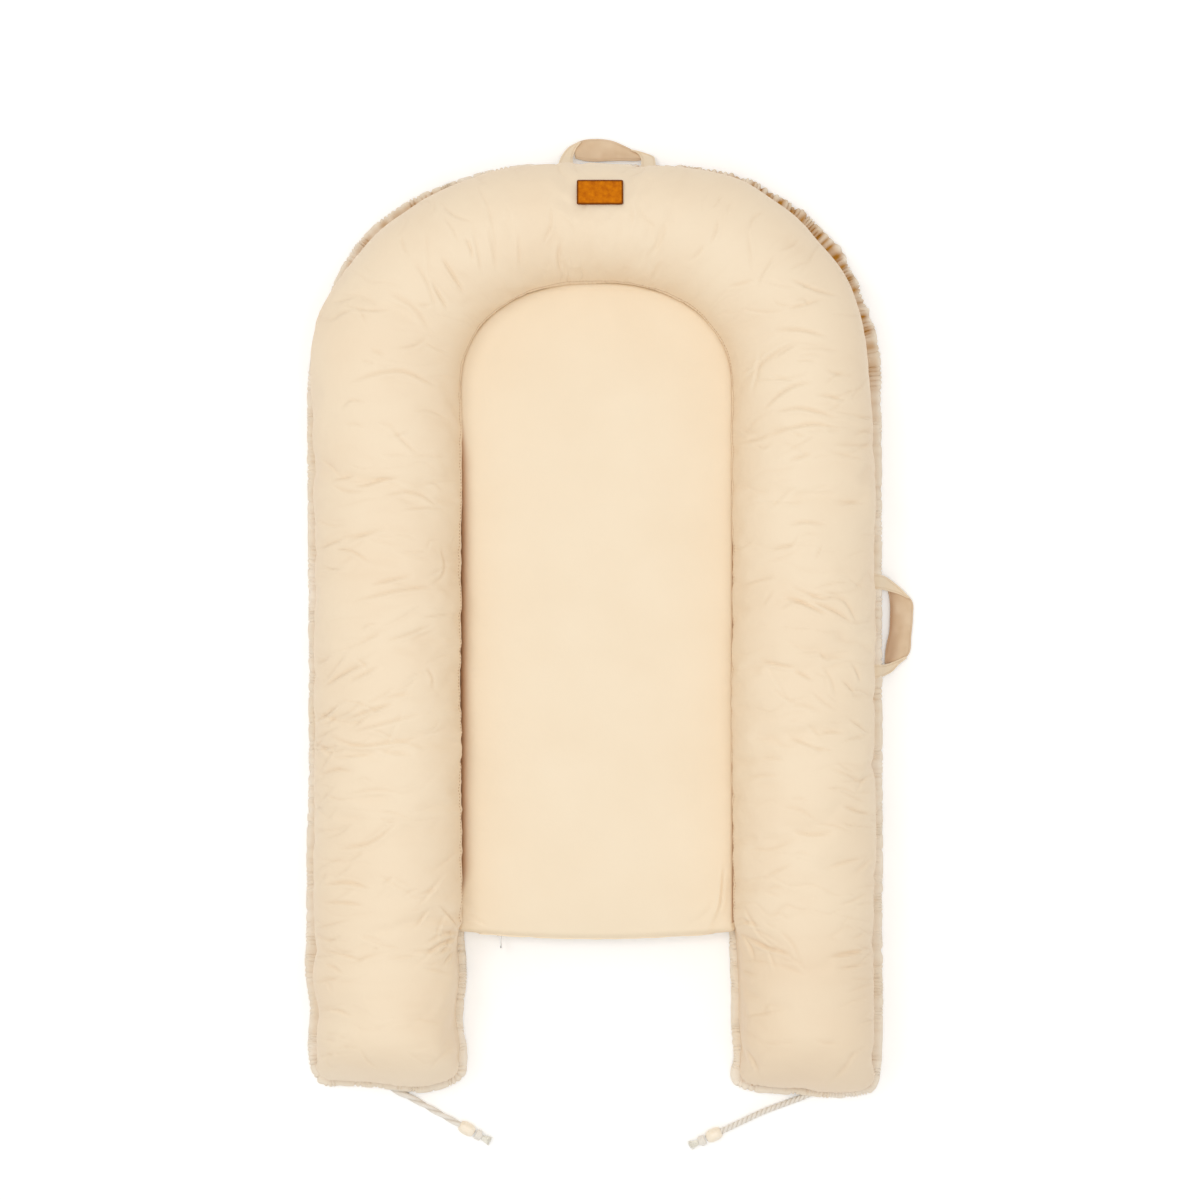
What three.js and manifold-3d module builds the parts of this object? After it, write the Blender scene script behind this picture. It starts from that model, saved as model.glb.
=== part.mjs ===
// Infant lounger (baby nest), lying flat with its head towards +Y, in millimetres, +Z up.
// A stuffed bolster runs round a crowned pad as an upside-down U. Its smooth top panel ends in a gathered
// casing round the base, which holds a drawcord. The cord's two tails leave the foot ends through
// buttonholes, each with a sliding bead and an end knot. The pad's cover closes with a zip across its foot.
import * as THREE from 'three';
import { mergeVertices } from 'three/addons/utils/BufferGeometryUtils.js';
import Module from 'manifold-3d';

const wasm = await Module();
wasm.setup();

// Clearances and cloth
const seatGap = 0.35;
const edgeGap = 0.4;
const stuffingGap = 0.5;
const clothThickness = 1;
const baseThickness = 1.2;
const cutOverrun = 2;

// Bolster: half widths from the middle, and rises of the arch above the line where it starts
const archStartY = 226.5;
const bolsterInnerHalf = 127.4;
const bolsterInnerRise = 98.3;
const bolsterOuterHalf = 261;
const bolsterOuterRise = 209.8;
const bolsterArchPower = 2.2;
const bolsterTopZ = 120;
const bolsterWidestZ = 62;
const sectionTopPower = 2.1;
const sectionInnerPower = 2.2;
const sectionOuterPower = 3.2;
const freeLegSetBack = 3.6;
const freeLegBlend = 44;
const archStations = 20;
const underPoints = 5;

// Leg ends: the panel closes to the hem like the end of a pillow
const panelEndY = -427.6;
const legTaperLength = 68;
const legTaperPower = 2.6;
const legOuterCorner = 34;
const legInnerCorner = 20;
const legTaperShares = [1, 0.97, 0.9, 0.78, 0.6, 0.35, 0];
const legStraightShares = [0.4, 0.75];

// Top panel: where its two edges leave the stuffing, and where they end
const padSeamZ = 36.3;
const panelInnerLeaveZ = 46;
const panelOuterLeaveAngle = 38;
const panelOuterEndZ = 8.5;
const panelArcPoints = 9;

// Gathered casing and hems
const casingSideReach = 15;
const casingHeadReach = 7.7;
const casingOuterHalf = bolsterOuterHalf + casingSideReach;
const casingOuterRise = bolsterOuterRise + casingHeadReach;
const casingArchPower = 2.4;
const casingWidth = 16;
const casingHeight = 14;
const casingMiddleZ = 7.6;
const casingBoreRadius = 3.6;
const footCornerRadius = 30;
const ribPitch = 20;
const ribValleyShare = 0.84;
const ribVaryShare = 0.05;
const ribCrestShare = 0.4;
const casingSides = 8;
const ribsPerBoreRing = 4;
const boreChordGap = 0.7;
const innerHemWidth = 12;
const innerHemHeight = 12.4;
const innerHemSetIn = 3.4;
const innerHemEdgeX = bolsterInnerHalf - innerHemSetIn;
const innerHemCornerRadius = 15;
const innerHemBlendShare = 1.5;
const pathStep = 3;

// Drawcord, and the route of each free tail
const cordRadius = 3;
const cordSides = 8;
const exitLeftSetIn = 55;
const exitRightSetIn = 39;
const exitLeftX = exitLeftSetIn - bolsterOuterHalf;
const exitRightX = bolsterOuterHalf - exitRightSetIn;
const tailLeftRoute = [
  [-205.5, -436, 7.6], [-203.2, -436, 7.6], [-198.6, -437.6, 7.4], [-192.5, -441, 7], [-184, -445.8, 6.6],
  [-172, -452.4, 6.4], [-150, -464.7, 6.4], [-124, -479.2, 6.4], [-116.8, -483.2, 6.4],
];
const tailRightRoute = [
  [221.5, -436, 7.6], [219.2, -436, 7.6], [215.4, -437.4, 7.4], [211, -440.8, 7], [206, -444.6, 6.2],
  [199, -448.6, 5], [190, -452.2, 3.8], [180, -456, 3.4], [170, -459.6, 3.5], [160, -463.2, 4.4],
  [150, -467.4, 5.8], [141, -471.6, 6.4], [130.4, -476.6, 6.4], [112, -485.3, 6.4], [105, -488.6, 6.4],
];
const tailSteps = 22;
const tunnelClearance = 0.5;

// Beads and end knots
const beadLength = 14.3;
const beadRadius = 6.2;
const beadBoreRadius = 3.5;
const beadSides = 16;
const beadMouthRadius = 4.6;
const beadProfileShares = [[0.16, 0.93], [0.38, 1], [0.62, 1], [0.84, 0.93]];
const beadToKnot = 0.8;
const knotLength = 8.4;
const knotRadius = 5.3;
const tuftLength = 9;
const tuftRadius = 4.9;
const tuftNeckRadius = 3.1;
const knotProfileShares = [[0.25, 0.92], [0.5, 1], [0.8, 0.86]];
const tuftProfileShares = [[0.5, 0.9], [0.9, 1]];
const knotSides = 12;

// Pad
const padCornerY = -285;
const padFootBow = 7;
const padCornerRadius = 12;
const padEdgeZ = 35.4;
const padCrownZ = 42.6;
const padCrownPower = 2.2;
const padSkirtZ = 29.8;
const padArchPoints = 14;
const padLegPoints = 3;
const padFootPoints = 7;
const padCornerPoints = 3;
const padShoulder = 7;
const padRingShares = [0.62, 0.22];
const crownSpanShare = 0.8;
const shoulderRiseShare = 0.45;
const edgeRoundShare = 0.35;
const edgeRiseShare = 0.25;
const foamFootSetBack = 1.8;

// Zip across the pad's foot
const zipHalfLength = 112;
const zipMiddleZ = 18.7;
const zipSlitHalf = 0.5;
const tapeThickness = 0.8;
const tapeInnerEdge = 1.9;
const lowerTapeLowZ = 8.2;
const coilDepth = 2;
const coilToothPitch = 5;
const coilToothShare = 0.56;
const coilToothStartShare = 0.25;
const coilToothLength = 1.4;
const coilSpineWidth = 1;
const coilClosedEndX = -100;
const coilOpenEndX = 104;
const stopLength = 2.6;
const stopGap = 0.5;
const sliderX = -91;
const sliderLength = 9;
const sliderFrontHalf = 5;
const sliderBackHalf = 3.6;
const sliderPlate = 1;
const sliderPostThickness = 0.6;
const sliderPostLength = 2.6;
const sliderRunGap = 0.4;
const sliderFlange = 0.9;
const sliderWaistShare = 0.78;
const bailSpan = 7;
const bailThickness = 1;
const bailHeight = 3.4;
const bailWidth = 2.4;
const pullLength = 14;
const pullHalfHeight = 2.9;
const pullThickness = 1.1;
const pullBar = 1.1;
const pullWindowLength = 4.2;
const pullWindowHalf = 1.7;
const pullHoleRadius = 1.1;
const pullCurveSegments = 8;

// Strap handles: a flat strap with its two ends folded over and sewn into the brim
const strapThickness = 1.6;
const strapLowZ = 3.4;
const strapOverlap = 0.1;
const handleHalfLength = 47.5;
const handleReach = 27.5;
const handleSlit = 6.2;
const handleHeadX = 9;
const handleSideY = 1.6;
const armFoldHalf = 27;
const armFoldReach = 21;
const armKneeHalf = 38;
const armKneeReach = 9.5;
const armInnerHalf = 34;
const middleOuterHalf = 22.5;
const middleTuck = 3;
const brimGap = 0.4;

// Leather patch on the head
const patchLength = 42.5;
const patchWidth = 24;
const patchThickness = 1.5;
const patchX = 3.4;
const patchY = 399.6;
const patchColumns = 6;
const patchRows = 4;
const patchLift = 0.15;

// Colours of the finishes
const sateenCream = 0xf4e0c3;
const padCream = 0xf6e4c7;
const gatheredCream = 0xe4d2b8;
const baseCream = 0xe8dbc4;
const liningWhite = 0xf0ece2;
const foamWhite = 0xf5f1e4;
const cottonCord = 0xe7e4dc;
const woodPale = 0xf4e3c8;
const leatherTan = 0xac5a14;
const strapBeige = 0xd8c4a6;
const zipTapeBeige = 0xe6d8c0;
const zipNylon = 0xdfd0b6;
const zincSilver = 0xc9c9c6;

const lounger = new THREE.Group();
lounger.name = 'infant_lounger';

function place(name, geometry, colour, roughness = 0.9, metalness = 0) {
  const material = new THREE.MeshStandardMaterial({ color: colour, roughness, metalness });
  const mesh = new THREE.Mesh(geometry, material);
  mesh.name = name;
  lounger.add(mesh);
  return mesh;
}

// Solids from rings of points

// Turns a list of triangles round where it encloses its space inside out.
function solidFrom(points, triangles) {
  const position = new Float32Array(points.flatMap((p) => [p.x, p.y, p.z]));
  const a = new THREE.Vector3();
  let volume = 0;
  for (const [i, j, k] of triangles) volume += a.crossVectors(points[j], points[k]).dot(points[i]);
  const index = triangles.flatMap(([i, j, k]) => (volume < 0 ? [i, k, j] : [i, j, k]));
  const geometry = new THREE.BufferGeometry();
  geometry.setAttribute('position', new THREE.BufferAttribute(position, 3));
  geometry.setIndex(index);
  geometry.computeVertexNormals();
  return geometry;
}

function average(ring) {
  return ring.reduce((sum, p) => sum.add(p), new THREE.Vector3()).divideScalar(ring.length);
}

// The side faces between neighbouring rings, whose points match one to one.
function sideFaces(rings, start = 0) {
  const count = rings[0].length;
  const faces = [];
  for (let i = 0; i + 1 < rings.length; i += 1) {
    for (let j = 0; j < count; j += 1) {
      const [a, b] = [start + i * count + j, start + i * count + ((j + 1) % count)];
      faces.push([a, b, b + count], [a, b + count, a + count]);
    }
  }
  return faces;
}

// A loft closed by a fan at each end, or by a strip across a thin ring that runs out and back
function loft(rings, endsAreThin = false) {
  const count = rings[0].length;
  const points = rings.flat();
  const faces = sideFaces(rings);
  const lastStart = (rings.length - 1) * count;
  if (endsAreThin) {
    for (let j = 0; j + 1 < count / 2; j += 1) {
      const mirror = count - 1 - j;
      faces.push([j, mirror - 1, j + 1], [j, mirror, mirror - 1]);
      faces.push([lastStart + j, lastStart + j + 1, lastStart + mirror - 1]);
      faces.push([lastStart + j, lastStart + mirror - 1, lastStart + mirror]);
    }
    return solidFrom(points, faces);
  }
  points.push(average(rings[0]), average(rings[rings.length - 1]));
  for (let j = 0; j < count; j += 1) {
    const next = (j + 1) % count;
    faces.push([points.length - 2, next, j], [points.length - 1, lastStart + j, lastStart + next]);
  }
  return solidFrom(points, faces);
}

// A tube with a bore: outer rings, bore rings, and a flat ring-shaped face at each end.
function boredTube(outerRings, boreRings) {
  const count = outerRings[0].length;
  const points = [...outerRings.flat(), ...boreRings.flat()];
  const boreStart = outerRings.length * count;
  const faces = sideFaces(outerRings);
  for (const [a, b, c] of sideFaces(boreRings, boreStart)) faces.push([a, c, b]);
  const ends = [[0, boreStart, 1], [boreStart - count, points.length - count, -1]];
  for (const [outer, bore, way] of ends) {
    for (let j = 0; j < count; j += 1) {
      const next = (j + 1) % count;
      const quad = [outer + next, outer + j, bore + j, bore + next];
      if (way < 0) quad.reverse();
      faces.push([quad[0], quad[1], quad[2]], [quad[0], quad[2], quad[3]]);
    }
  }
  return solidFrom(points, faces);
}

// Joins and cuts

function toManifold(geometry) {
  const bare = geometry.clone();
  bare.deleteAttribute('normal');
  bare.deleteAttribute('uv');
  const merged = mergeVertices(bare);
  return new wasm.Manifold(new wasm.Mesh({
    numProp: 3,
    vertProperties: Float32Array.from(merged.attributes.position.array),
    triVerts: Uint32Array.from(merged.index.array),
  }));
}

function fromManifold(solid) {
  const mesh = solid.getMesh();
  const geometry = new THREE.BufferGeometry();
  geometry.setAttribute('position', new THREE.BufferAttribute(mesh.vertProperties, 3));
  geometry.setIndex(new THREE.BufferAttribute(mesh.triVerts, 1));
  geometry.computeVertexNormals();
  return geometry;
}

function join(...geometries) {
  return fromManifold(geometries.map(toManifold).reduce((whole, piece) => whole.add(piece)));
}

function cut(geometry, ...tools) {
  const whole = toManifold(geometry);
  return fromManifold(tools.map(toManifold).reduce((rest, tool) => rest.subtract(tool), whole));
}

// A block between two corners.
function block(low, high) {
  const size = high.map((value, axis) => value - low[axis]);
  const middle = high.map((value, axis) => (value + low[axis]) / 2);
  return new THREE.BoxGeometry(...size).translate(...middle);
}

function plate(outline, lowZ, thickness) {
  const shape = new THREE.Shape(outline.map(([x, y]) => new THREE.Vector2(x, y)));
  return new THREE.ExtrudeGeometry(shape, { depth: thickness, bevelEnabled: false }).translate(0, 0, lowZ);
}

// The bolster's section, station by station
const sectionLowZ = baseThickness - clothThickness;

function superellipse(angle, half, rise, power) {
  const across = (Math.abs(Math.cos(angle)) / half) ** power;
  const along = (Math.abs(Math.sin(angle)) / rise) ** power;
  return (across + along) ** (-1 / power);
}

function smoothShare(value) {
  const t = THREE.MathUtils.clamp(value, 0, 1);
  return t * t * (3 - 2 * t);
}

// How far a corner of this radius draws the edge in at this distance from the end.
function cornerInset(distance, radius) {
  const left = Math.max(radius - Math.max(distance, 0), 0);
  return radius - Math.sqrt(radius * radius - left * left);
}

// The plan place of a station: where its section starts, the way it points, and its inner and outer reach.
function legStation(side, y, endY = panelEndY) {
  const taper = THREE.MathUtils.clamp((endY + legTaperLength - y) / legTaperLength, 0, 1);
  const free = smoothShare((padCornerY - y) / freeLegBlend + 0.5);
  return {
    base: new THREE.Vector3(0, y, 0),
    out: new THREE.Vector3(side, 0, 0),
    inner: bolsterInnerHalf + freeLegSetBack * free + cornerInset(y - endY, legInnerCorner),
    outer: bolsterOuterHalf - cornerInset(y - endY, legOuterCorner),
    casing: casingOuterHalf - casingWidth - cornerInset(y - endY, footCornerRadius - casingWidth / 2),
    height: Math.sqrt(1 - taper ** legTaperPower),
    free: smoothShare((padCornerY - padFootBow - y) / casingWidth),
  };
}

function archStation(angle) {
  return {
    base: new THREE.Vector3(0, archStartY, 0),
    out: new THREE.Vector3(Math.cos(angle), Math.sin(angle), 0),
    inner: superellipse(angle, bolsterInnerHalf, bolsterInnerRise, bolsterArchPower),
    outer: superellipse(angle, bolsterOuterHalf, bolsterOuterRise, bolsterArchPower),
    casing: superellipse(angle, casingOuterHalf, casingOuterRise, casingArchPower) - casingWidth,
    height: 1,
    free: 0,
  };
}

// All stations from the right foot over the head to the left foot.
function stations(endY = panelEndY) {
  const taperStart = endY + legTaperLength;
  const padFoot = padCornerY - padFootBow;
  const legYs = [
    ...legTaperShares.map((share) => taperStart - legTaperLength * share),
    padFoot - casingWidth, padFoot - casingWidth / 2, padFoot, padCornerY + freeLegBlend / 2,
    ...legStraightShares.map((share) => THREE.MathUtils.lerp(padFoot, archStartY, share)),
  ];
  const right = legYs.map((y) => legStation(1, y, endY));
  const left = legYs.map((y) => legStation(-1, y, endY)).reverse();
  const arch = [];
  for (let i = 0; i <= archStations; i += 1) arch.push(archStation((Math.PI * i) / archStations));
  return [...right, ...arch, ...left];
}

// A point of the section: angle 0 faces out, 90 degrees up and 180 in. inset draws it in on all sides.
function sectionPoint(station, angle, inset) {
  const [c, s] = [Math.cos(angle), Math.sin(angle)];
  const topZ = THREE.MathUtils.lerp(casingMiddleZ + casingHeight / 2, bolsterTopZ, station.height) - inset;
  const lowZ = sectionLowZ + inset;
  const middleZ = lowZ + (topZ - lowZ) * (bolsterWidestZ / bolsterTopZ);
  const lowPower = c < 0 ? sectionInnerPower : sectionOuterPower;
  const power = s > 0 ? sectionTopPower : lowPower;
  const halfWidth = (station.outer - station.inner) / 2 - inset;
  const reach = (station.outer + station.inner) / 2 + halfWidth * Math.sign(c) * Math.abs(c) ** (2 / power);
  const z = middleZ + (s > 0 ? topZ - middleZ : middleZ - lowZ) * Math.sign(s) * Math.abs(s) ** (2 / power);
  return station.base.clone().addScaledVector(station.out, reach).setZ(z);
}

// The angle at which the lower inner quarter of a full section passes this height.
const fullMiddleZ = sectionLowZ + (bolsterTopZ - sectionLowZ) * (bolsterWidestZ / bolsterTopZ);

function innerAngleAt(z) {
  const share = (fullMiddleZ - z) / (fullMiddleZ - sectionLowZ);
  return Math.PI + Math.asin(share ** (sectionInnerPower / 2));
}

// Section angles under the top panel, from its inner side over the top, and those of the hidden underside
const panelAngles = [];
const underAngles = [];
const panelInnerAngle = innerAngleAt(panelInnerLeaveZ);
const panelOuterAngle = -THREE.MathUtils.degToRad(panelOuterLeaveAngle);
for (let j = 0; j <= panelArcPoints; j += 1) {
  panelAngles.push(THREE.MathUtils.lerp(panelInnerAngle, panelOuterAngle, j / panelArcPoints));
}
for (let j = 1; j < underPoints; j += 1) {
  underAngles.push(THREE.MathUtils.lerp(panelOuterAngle, panelInnerAngle - 2 * Math.PI, j / underPoints));
}

// Stuffed bolster insert, with its lining: the whole U
const stuffingInset = clothThickness + stuffingGap;

function bolsterInsert() {
  const rings = stations(panelEndY + stuffingInset).map((station) => (
    [...panelAngles, ...underAngles].map((angle) => sectionPoint(station, angle, stuffingInset))
  ));
  return loft(rings);
}

// Smooth top panel: a cloth shell over the bolster, from the pad seam or inner hem to the outer casing
function topPanelRing(station) {
  const outerFace = [];
  const innerFace = [];
  const seamPoint = (inset) => {
    const sewn = sectionPoint({ ...station, height: 1 }, innerAngleAt(padSeamZ), inset);
    const freeZ = Math.min(casingMiddleZ + innerHemHeight / 2 + edgeGap, padSeamZ);
    const hanging = station.base.clone().addScaledVector(station.out, station.inner + inset).setZ(freeZ);
    return sewn.lerp(hanging, station.free);
  };
  const brimPoint = (inset) => station.base.clone()
    .addScaledVector(station.out, station.casing - edgeGap - inset)
    .setZ(panelOuterEndZ - inset);
  for (const [face, inset] of [[outerFace, 0], [innerFace, clothThickness]]) {
    face.push(seamPoint(inset));
    face.push(...panelAngles.map((angle) => sectionPoint(station, angle, inset)));
    face.push(brimPoint(inset));
  }
  return [...outerFace, ...innerFace.reverse()];
}

place('bolster_insert', bolsterInsert(), liningWhite);
place('cover_top_panel', loft(stations().map(topPanelRing), true), sateenCream, 0.7);

// Paths round the base, as lengths along a plan line

class PlanPath {
  constructor(points) {
    this.points = points;
    this.lengths = [0];
    for (let i = 1; i < points.length; i += 1) {
      this.lengths.push(this.lengths[i - 1] + points[i].distanceTo(points[i - 1]));
    }
    this.total = this.lengths[points.length - 1];
  }

  at(distance) {
    const d = THREE.MathUtils.clamp(distance, 0, this.total);
    let i = 1;
    while (i < this.points.length - 1 && this.lengths[i] < d) i += 1;
    const share = (d - this.lengths[i - 1]) / (this.lengths[i] - this.lengths[i - 1]);
    return this.points[i - 1].clone().lerp(this.points[i], share);
  }

  // A ring square to the path, as wide and high as given.
  ring(distance, halfWidth, halfHeight, z, sides) {
    const ahead = this.at(distance + pathStep).sub(this.at(distance - pathStep)).normalize();
    const across = new THREE.Vector2(ahead.y, -ahead.x);
    const middle = this.at(distance);
    const ring = [];
    for (let j = 0; j < sides; j += 1) {
      const angle = (2 * Math.PI * (j + 0.5)) / sides;
      const flat = middle.clone().addScaledVector(across, halfWidth * Math.cos(angle));
      ring.push(new THREE.Vector3(flat.x, flat.y, z + halfHeight * Math.sin(angle)));
    }
    return ring;
  }
}

function arcPoints(centreX, centreY, radius, fromAngle, toAngle) {
  const steps = Math.ceil((radius * Math.abs(toAngle - fromAngle)) / pathStep);
  const points = [];
  for (let i = 0; i <= steps; i += 1) {
    const angle = THREE.MathUtils.lerp(fromAngle, toAngle, i / steps);
    points.push(new THREE.Vector2(centreX + radius * Math.cos(angle), centreY + radius * Math.sin(angle)));
  }
  return points;
}

const hemMiddleY = panelEndY - edgeGap - casingWidth / 2;
const casingMiddleHalf = casingOuterHalf - casingWidth / 2;

// The casing's middle line from the left exit round the left foot corner, the head and the right corner.
function casingPath() {
  const cornerX = casingMiddleHalf - footCornerRadius;
  const cornerY = hemMiddleY + footCornerRadius;
  const arch = [];
  const archSteps = Math.ceil((Math.PI * casingMiddleHalf) / pathStep);
  for (let i = 0; i <= archSteps; i += 1) {
    const angle = Math.PI * (1 - i / archSteps);
    const reach = superellipse(angle, casingOuterHalf, casingOuterRise, casingArchPower) - casingWidth / 2;
    arch.push(new THREE.Vector2(reach * Math.cos(angle), archStartY + reach * Math.sin(angle)));
  }
  return new PlanPath([
    new THREE.Vector2(exitLeftX, hemMiddleY),
    ...arcPoints(-cornerX, cornerY, footCornerRadius, -Math.PI / 2, -Math.PI),
    ...arch,
    ...arcPoints(cornerX, cornerY, footCornerRadius, 0, -Math.PI / 2),
    new THREE.Vector2(exitRightX, hemMiddleY),
  ]);
}

// The radius to a ring's corners where its flats lie at this radius.
function toCorners(radius, sides) {
  return radius / Math.cos(Math.PI / sides);
}

// Distances of the crest and valley rings: a plain stretch one width long at each end, ribs between them.
function ribRings(path, sizeAt, startPlain = casingWidth, endPlain = casingWidth) {
  const ribbed = path.total - startPlain - endPlain;
  const ribs = Math.max(2, Math.round(ribbed / ribPitch));
  const rings = [[0, ribValleyShare], [startPlain, ribValleyShare]];
  for (let i = 0; i < ribs; i += 1) {
    const vary = ribVaryShare * Math.sin(i * i + i);
    rings.push([startPlain + (ribbed * (i + ribCrestShare)) / ribs, 1 - ribVaryShare + vary]);
    if (i + 1 < ribs) rings.push([startPlain + (ribbed * (i + 1)) / ribs, ribValleyShare + vary]);
  }
  rings.push([path.total - endPlain, ribValleyShare], [path.total, ribValleyShare]);
  return rings.map(([distance, share]) => {
    const [halfWidth, halfHeight] = sizeAt(distance).map((half) => toCorners(half * share, casingSides));
    return path.ring(distance, halfWidth, halfHeight, casingMiddleZ, casingSides);
  });
}

// Ring distances of the bore and of the cord in it: close together where the path turns. A chord leaves
// its arc by an eighth of its length times the turn.
function boreDistances(path) {
  const distances = [0];
  const direction = (d) => path.at(d + pathStep).sub(path.at(d - pathStep)).angle();
  for (let d = pathStep; d < path.total - pathStep; d += pathStep) {
    const step = d - distances[distances.length - 1];
    const turned = Math.abs(Math.sin(direction(d) - direction(distances[distances.length - 1])));
    const chordGap = (turned * step) / 8;
    if (step > ribPitch * ribsPerBoreRing || chordGap > boreChordGap) distances.push(d);
  }
  distances.push(path.total);
  return distances;
}

const outerPath = casingPath();
const outerBore = boreDistances(outerPath);
const boreRing = (radius) => (d) => outerPath.ring(d, radius, radius, casingMiddleZ, casingSides);
place('drawcord_casing_outer', boredTube(
  ribRings(outerPath, () => [casingWidth / 2, casingHeight / 2]),
  outerBore.map(boreRing(toCorners(casingBoreRadius, casingSides))),
), gatheredCream, 0.85);
place('drawcord_in_casing', loft(outerBore.map(boreRing(cordRadius))), cottonCord);

// A tube along a route of points, as the cord tails and the tunnels they leave through
function tubeAlong(route, radius, steps) {
  const outline = [];
  for (let j = 0; j < cordSides; j += 1) {
    const angle = (2 * Math.PI * (j + 0.5)) / cordSides;
    outline.push(new THREE.Vector2(radius * Math.cos(angle), radius * Math.sin(angle)));
  }
  const extrudePath = new THREE.CatmullRomCurve3(route.map((p) => new THREE.Vector3(...p)));
  return new THREE.ExtrudeGeometry(new THREE.Shape(outline), { steps, extrudePath });
}

// Inner hem of a leg: from the cord's exit round the inner foot corner and up to the pad's foot
function innerHem(side, exitX, route) {
  const middleX = innerHemEdgeX + innerHemWidth / 2;
  const cornerX = middleX + innerHemCornerRadius;
  const topY = padCornerY - padFootBow - innerHemWidth / 2;
  const cornerY = hemMiddleY + innerHemCornerRadius;
  const corner = arcPoints(cornerX, cornerY, innerHemCornerRadius, -Math.PI / 2, -Math.PI);
  const points = [
    new THREE.Vector2(Math.abs(exitX) - seatGap, hemMiddleY), ...corner, new THREE.Vector2(middleX, topY),
  ].map((p) => new THREE.Vector2(p.x * side, p.y));
  const path = new PlanPath(points);
  const footLength = Math.abs(exitX) - cornerX;
  const sizeAt = (d) => {
    const share = smoothShare((d - footLength) / (innerHemCornerRadius * innerHemBlendShare));
    return [
      THREE.MathUtils.lerp(casingWidth, innerHemWidth, share) / 2,
      THREE.MathUtils.lerp(casingHeight, innerHemHeight, share) / 2,
    ];
  };
  const lead = new THREE.Vector3(...route[0]).sub(new THREE.Vector3(...route[1])).setLength(cutOverrun);
  const before = new THREE.Vector3(...route[0]).add(lead);
  const tunnel = tubeAlong([before.toArray(), ...route], cordRadius + tunnelClearance, tailSteps);
  return cut(loft(ribRings(path, sizeAt)), tunnel);
}

place('hem_inner_left', innerHem(-1, exitLeftX, tailLeftRoute), gatheredCream, 0.85);
place('hem_inner_right', innerHem(1, exitRightX, tailRightRoute), gatheredCream, 0.85);
place('cord_tail_left', tubeAlong(tailLeftRoute, cordRadius, tailSteps), cottonCord);
place('cord_tail_right', tubeAlong(tailRightRoute, cordRadius, tailSteps), cottonCord);

// Bead and end knot of a tail, turned about the cord's last stretch
function alongTail(geometry, route) {
  const end = new THREE.Vector3(...route[route.length - 1]);
  const ahead = end.clone().sub(new THREE.Vector3(...route[route.length - 2])).normalize();
  const turn = new THREE.Quaternion().setFromUnitVectors(new THREE.Vector3(0, 1, 0), ahead);
  return geometry.applyQuaternion(turn).translate(end.x, end.y, end.z);
}

// Points of a turned profile, from shares of a length and of a radius.
function turnedPoints(shares, start, length, radius) {
  return shares.map(([along, out]) => new THREE.Vector2(radius * out, start + length * along));
}

function bead() {
  const low = -seatGap - beadToKnot - beadLength;
  const profile = [
    new THREE.Vector2(beadBoreRadius, low),
    new THREE.Vector2(beadMouthRadius, low),
    ...turnedPoints(beadProfileShares, low, beadLength, beadRadius),
    new THREE.Vector2(beadMouthRadius, low + beadLength),
    new THREE.Vector2(beadBoreRadius, low + beadLength),
    new THREE.Vector2(beadBoreRadius, low),
  ];
  return new THREE.LatheGeometry(profile, beadSides);
}

function endKnot() {
  const tuftStart = seatGap + knotLength;
  const profile = [
    new THREE.Vector2(0, seatGap),
    new THREE.Vector2(tuftNeckRadius, seatGap),
    ...turnedPoints(knotProfileShares, seatGap, knotLength, knotRadius),
    new THREE.Vector2(tuftNeckRadius, tuftStart),
    ...turnedPoints(tuftProfileShares, tuftStart, tuftLength, tuftRadius),
    new THREE.Vector2(0, tuftStart + tuftLength),
  ];
  return new THREE.LatheGeometry(profile, knotSides);
}

for (const [side, route] of [['left', tailLeftRoute], ['right', tailRightRoute]]) {
  place(`bead_${side}`, alongTail(bead(), route), woodPale, 0.6);
  place(`end_knot_${side}`, alongTail(endKnot(), route), cottonCord);
}

// Pad outline, drawn in by inset and bowed out along the foot

const padHalf = (() => {
  const seam = sectionPoint(archStation(0), innerAngleAt(padSeamZ), 0);
  return seam.x - seatGap;
})();

function padOutline(inset, bow) {
  const points = [];
  const seamAngle = innerAngleAt(padSeamZ);
  for (let i = 0; i <= padArchPoints; i += 1) {
    const angle = (Math.PI * i) / padArchPoints;
    const seam = sectionPoint(archStation(angle), seamAngle, 0);
    const reach = Math.hypot(seam.x, seam.y - archStartY) - seatGap - inset;
    points.push(new THREE.Vector2(reach * Math.cos(angle), archStartY + reach * Math.sin(angle)));
  }
  const half = padHalf - inset;
  const radius = Math.min(padCornerRadius, half / 2);
  const cornerY = padCornerY + inset + radius;
  const cornerX = half - radius;
  for (let i = 1; i < padLegPoints; i += 1) {
    points.push(new THREE.Vector2(-half, THREE.MathUtils.lerp(archStartY, cornerY, i / padLegPoints)));
  }
  const corner = (side, fromAngle, toAngle) => {
    for (let i = 0; i <= padCornerPoints; i += 1) {
      const angle = THREE.MathUtils.lerp(fromAngle, toAngle, i / padCornerPoints);
      const x = side * cornerX + radius * Math.cos(angle);
      const y = cornerY + radius * Math.sin(angle);
      const reach = Math.max(0, 1 - (x / half) ** 2);
      points.push(new THREE.Vector2(x, y - (Math.sin(angle) < 0 ? bow * reach : 0)));
    }
  };
  corner(-1, Math.PI, 1.5 * Math.PI);
  for (let i = 1; i < padFootPoints; i += 1) {
    const x = THREE.MathUtils.lerp(-cornerX, cornerX, i / padFootPoints);
    points.push(new THREE.Vector2(x, padCornerY + inset - bow * (1 - (x / half) ** 2)));
  }
  corner(1, 1.5 * Math.PI, 2 * Math.PI);
  for (let i = padLegPoints - 1; i > 0; i -= 1) {
    points.push(new THREE.Vector2(half, THREE.MathUtils.lerp(archStartY, cornerY, i / padLegPoints)));
  }
  return points;
}

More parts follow.
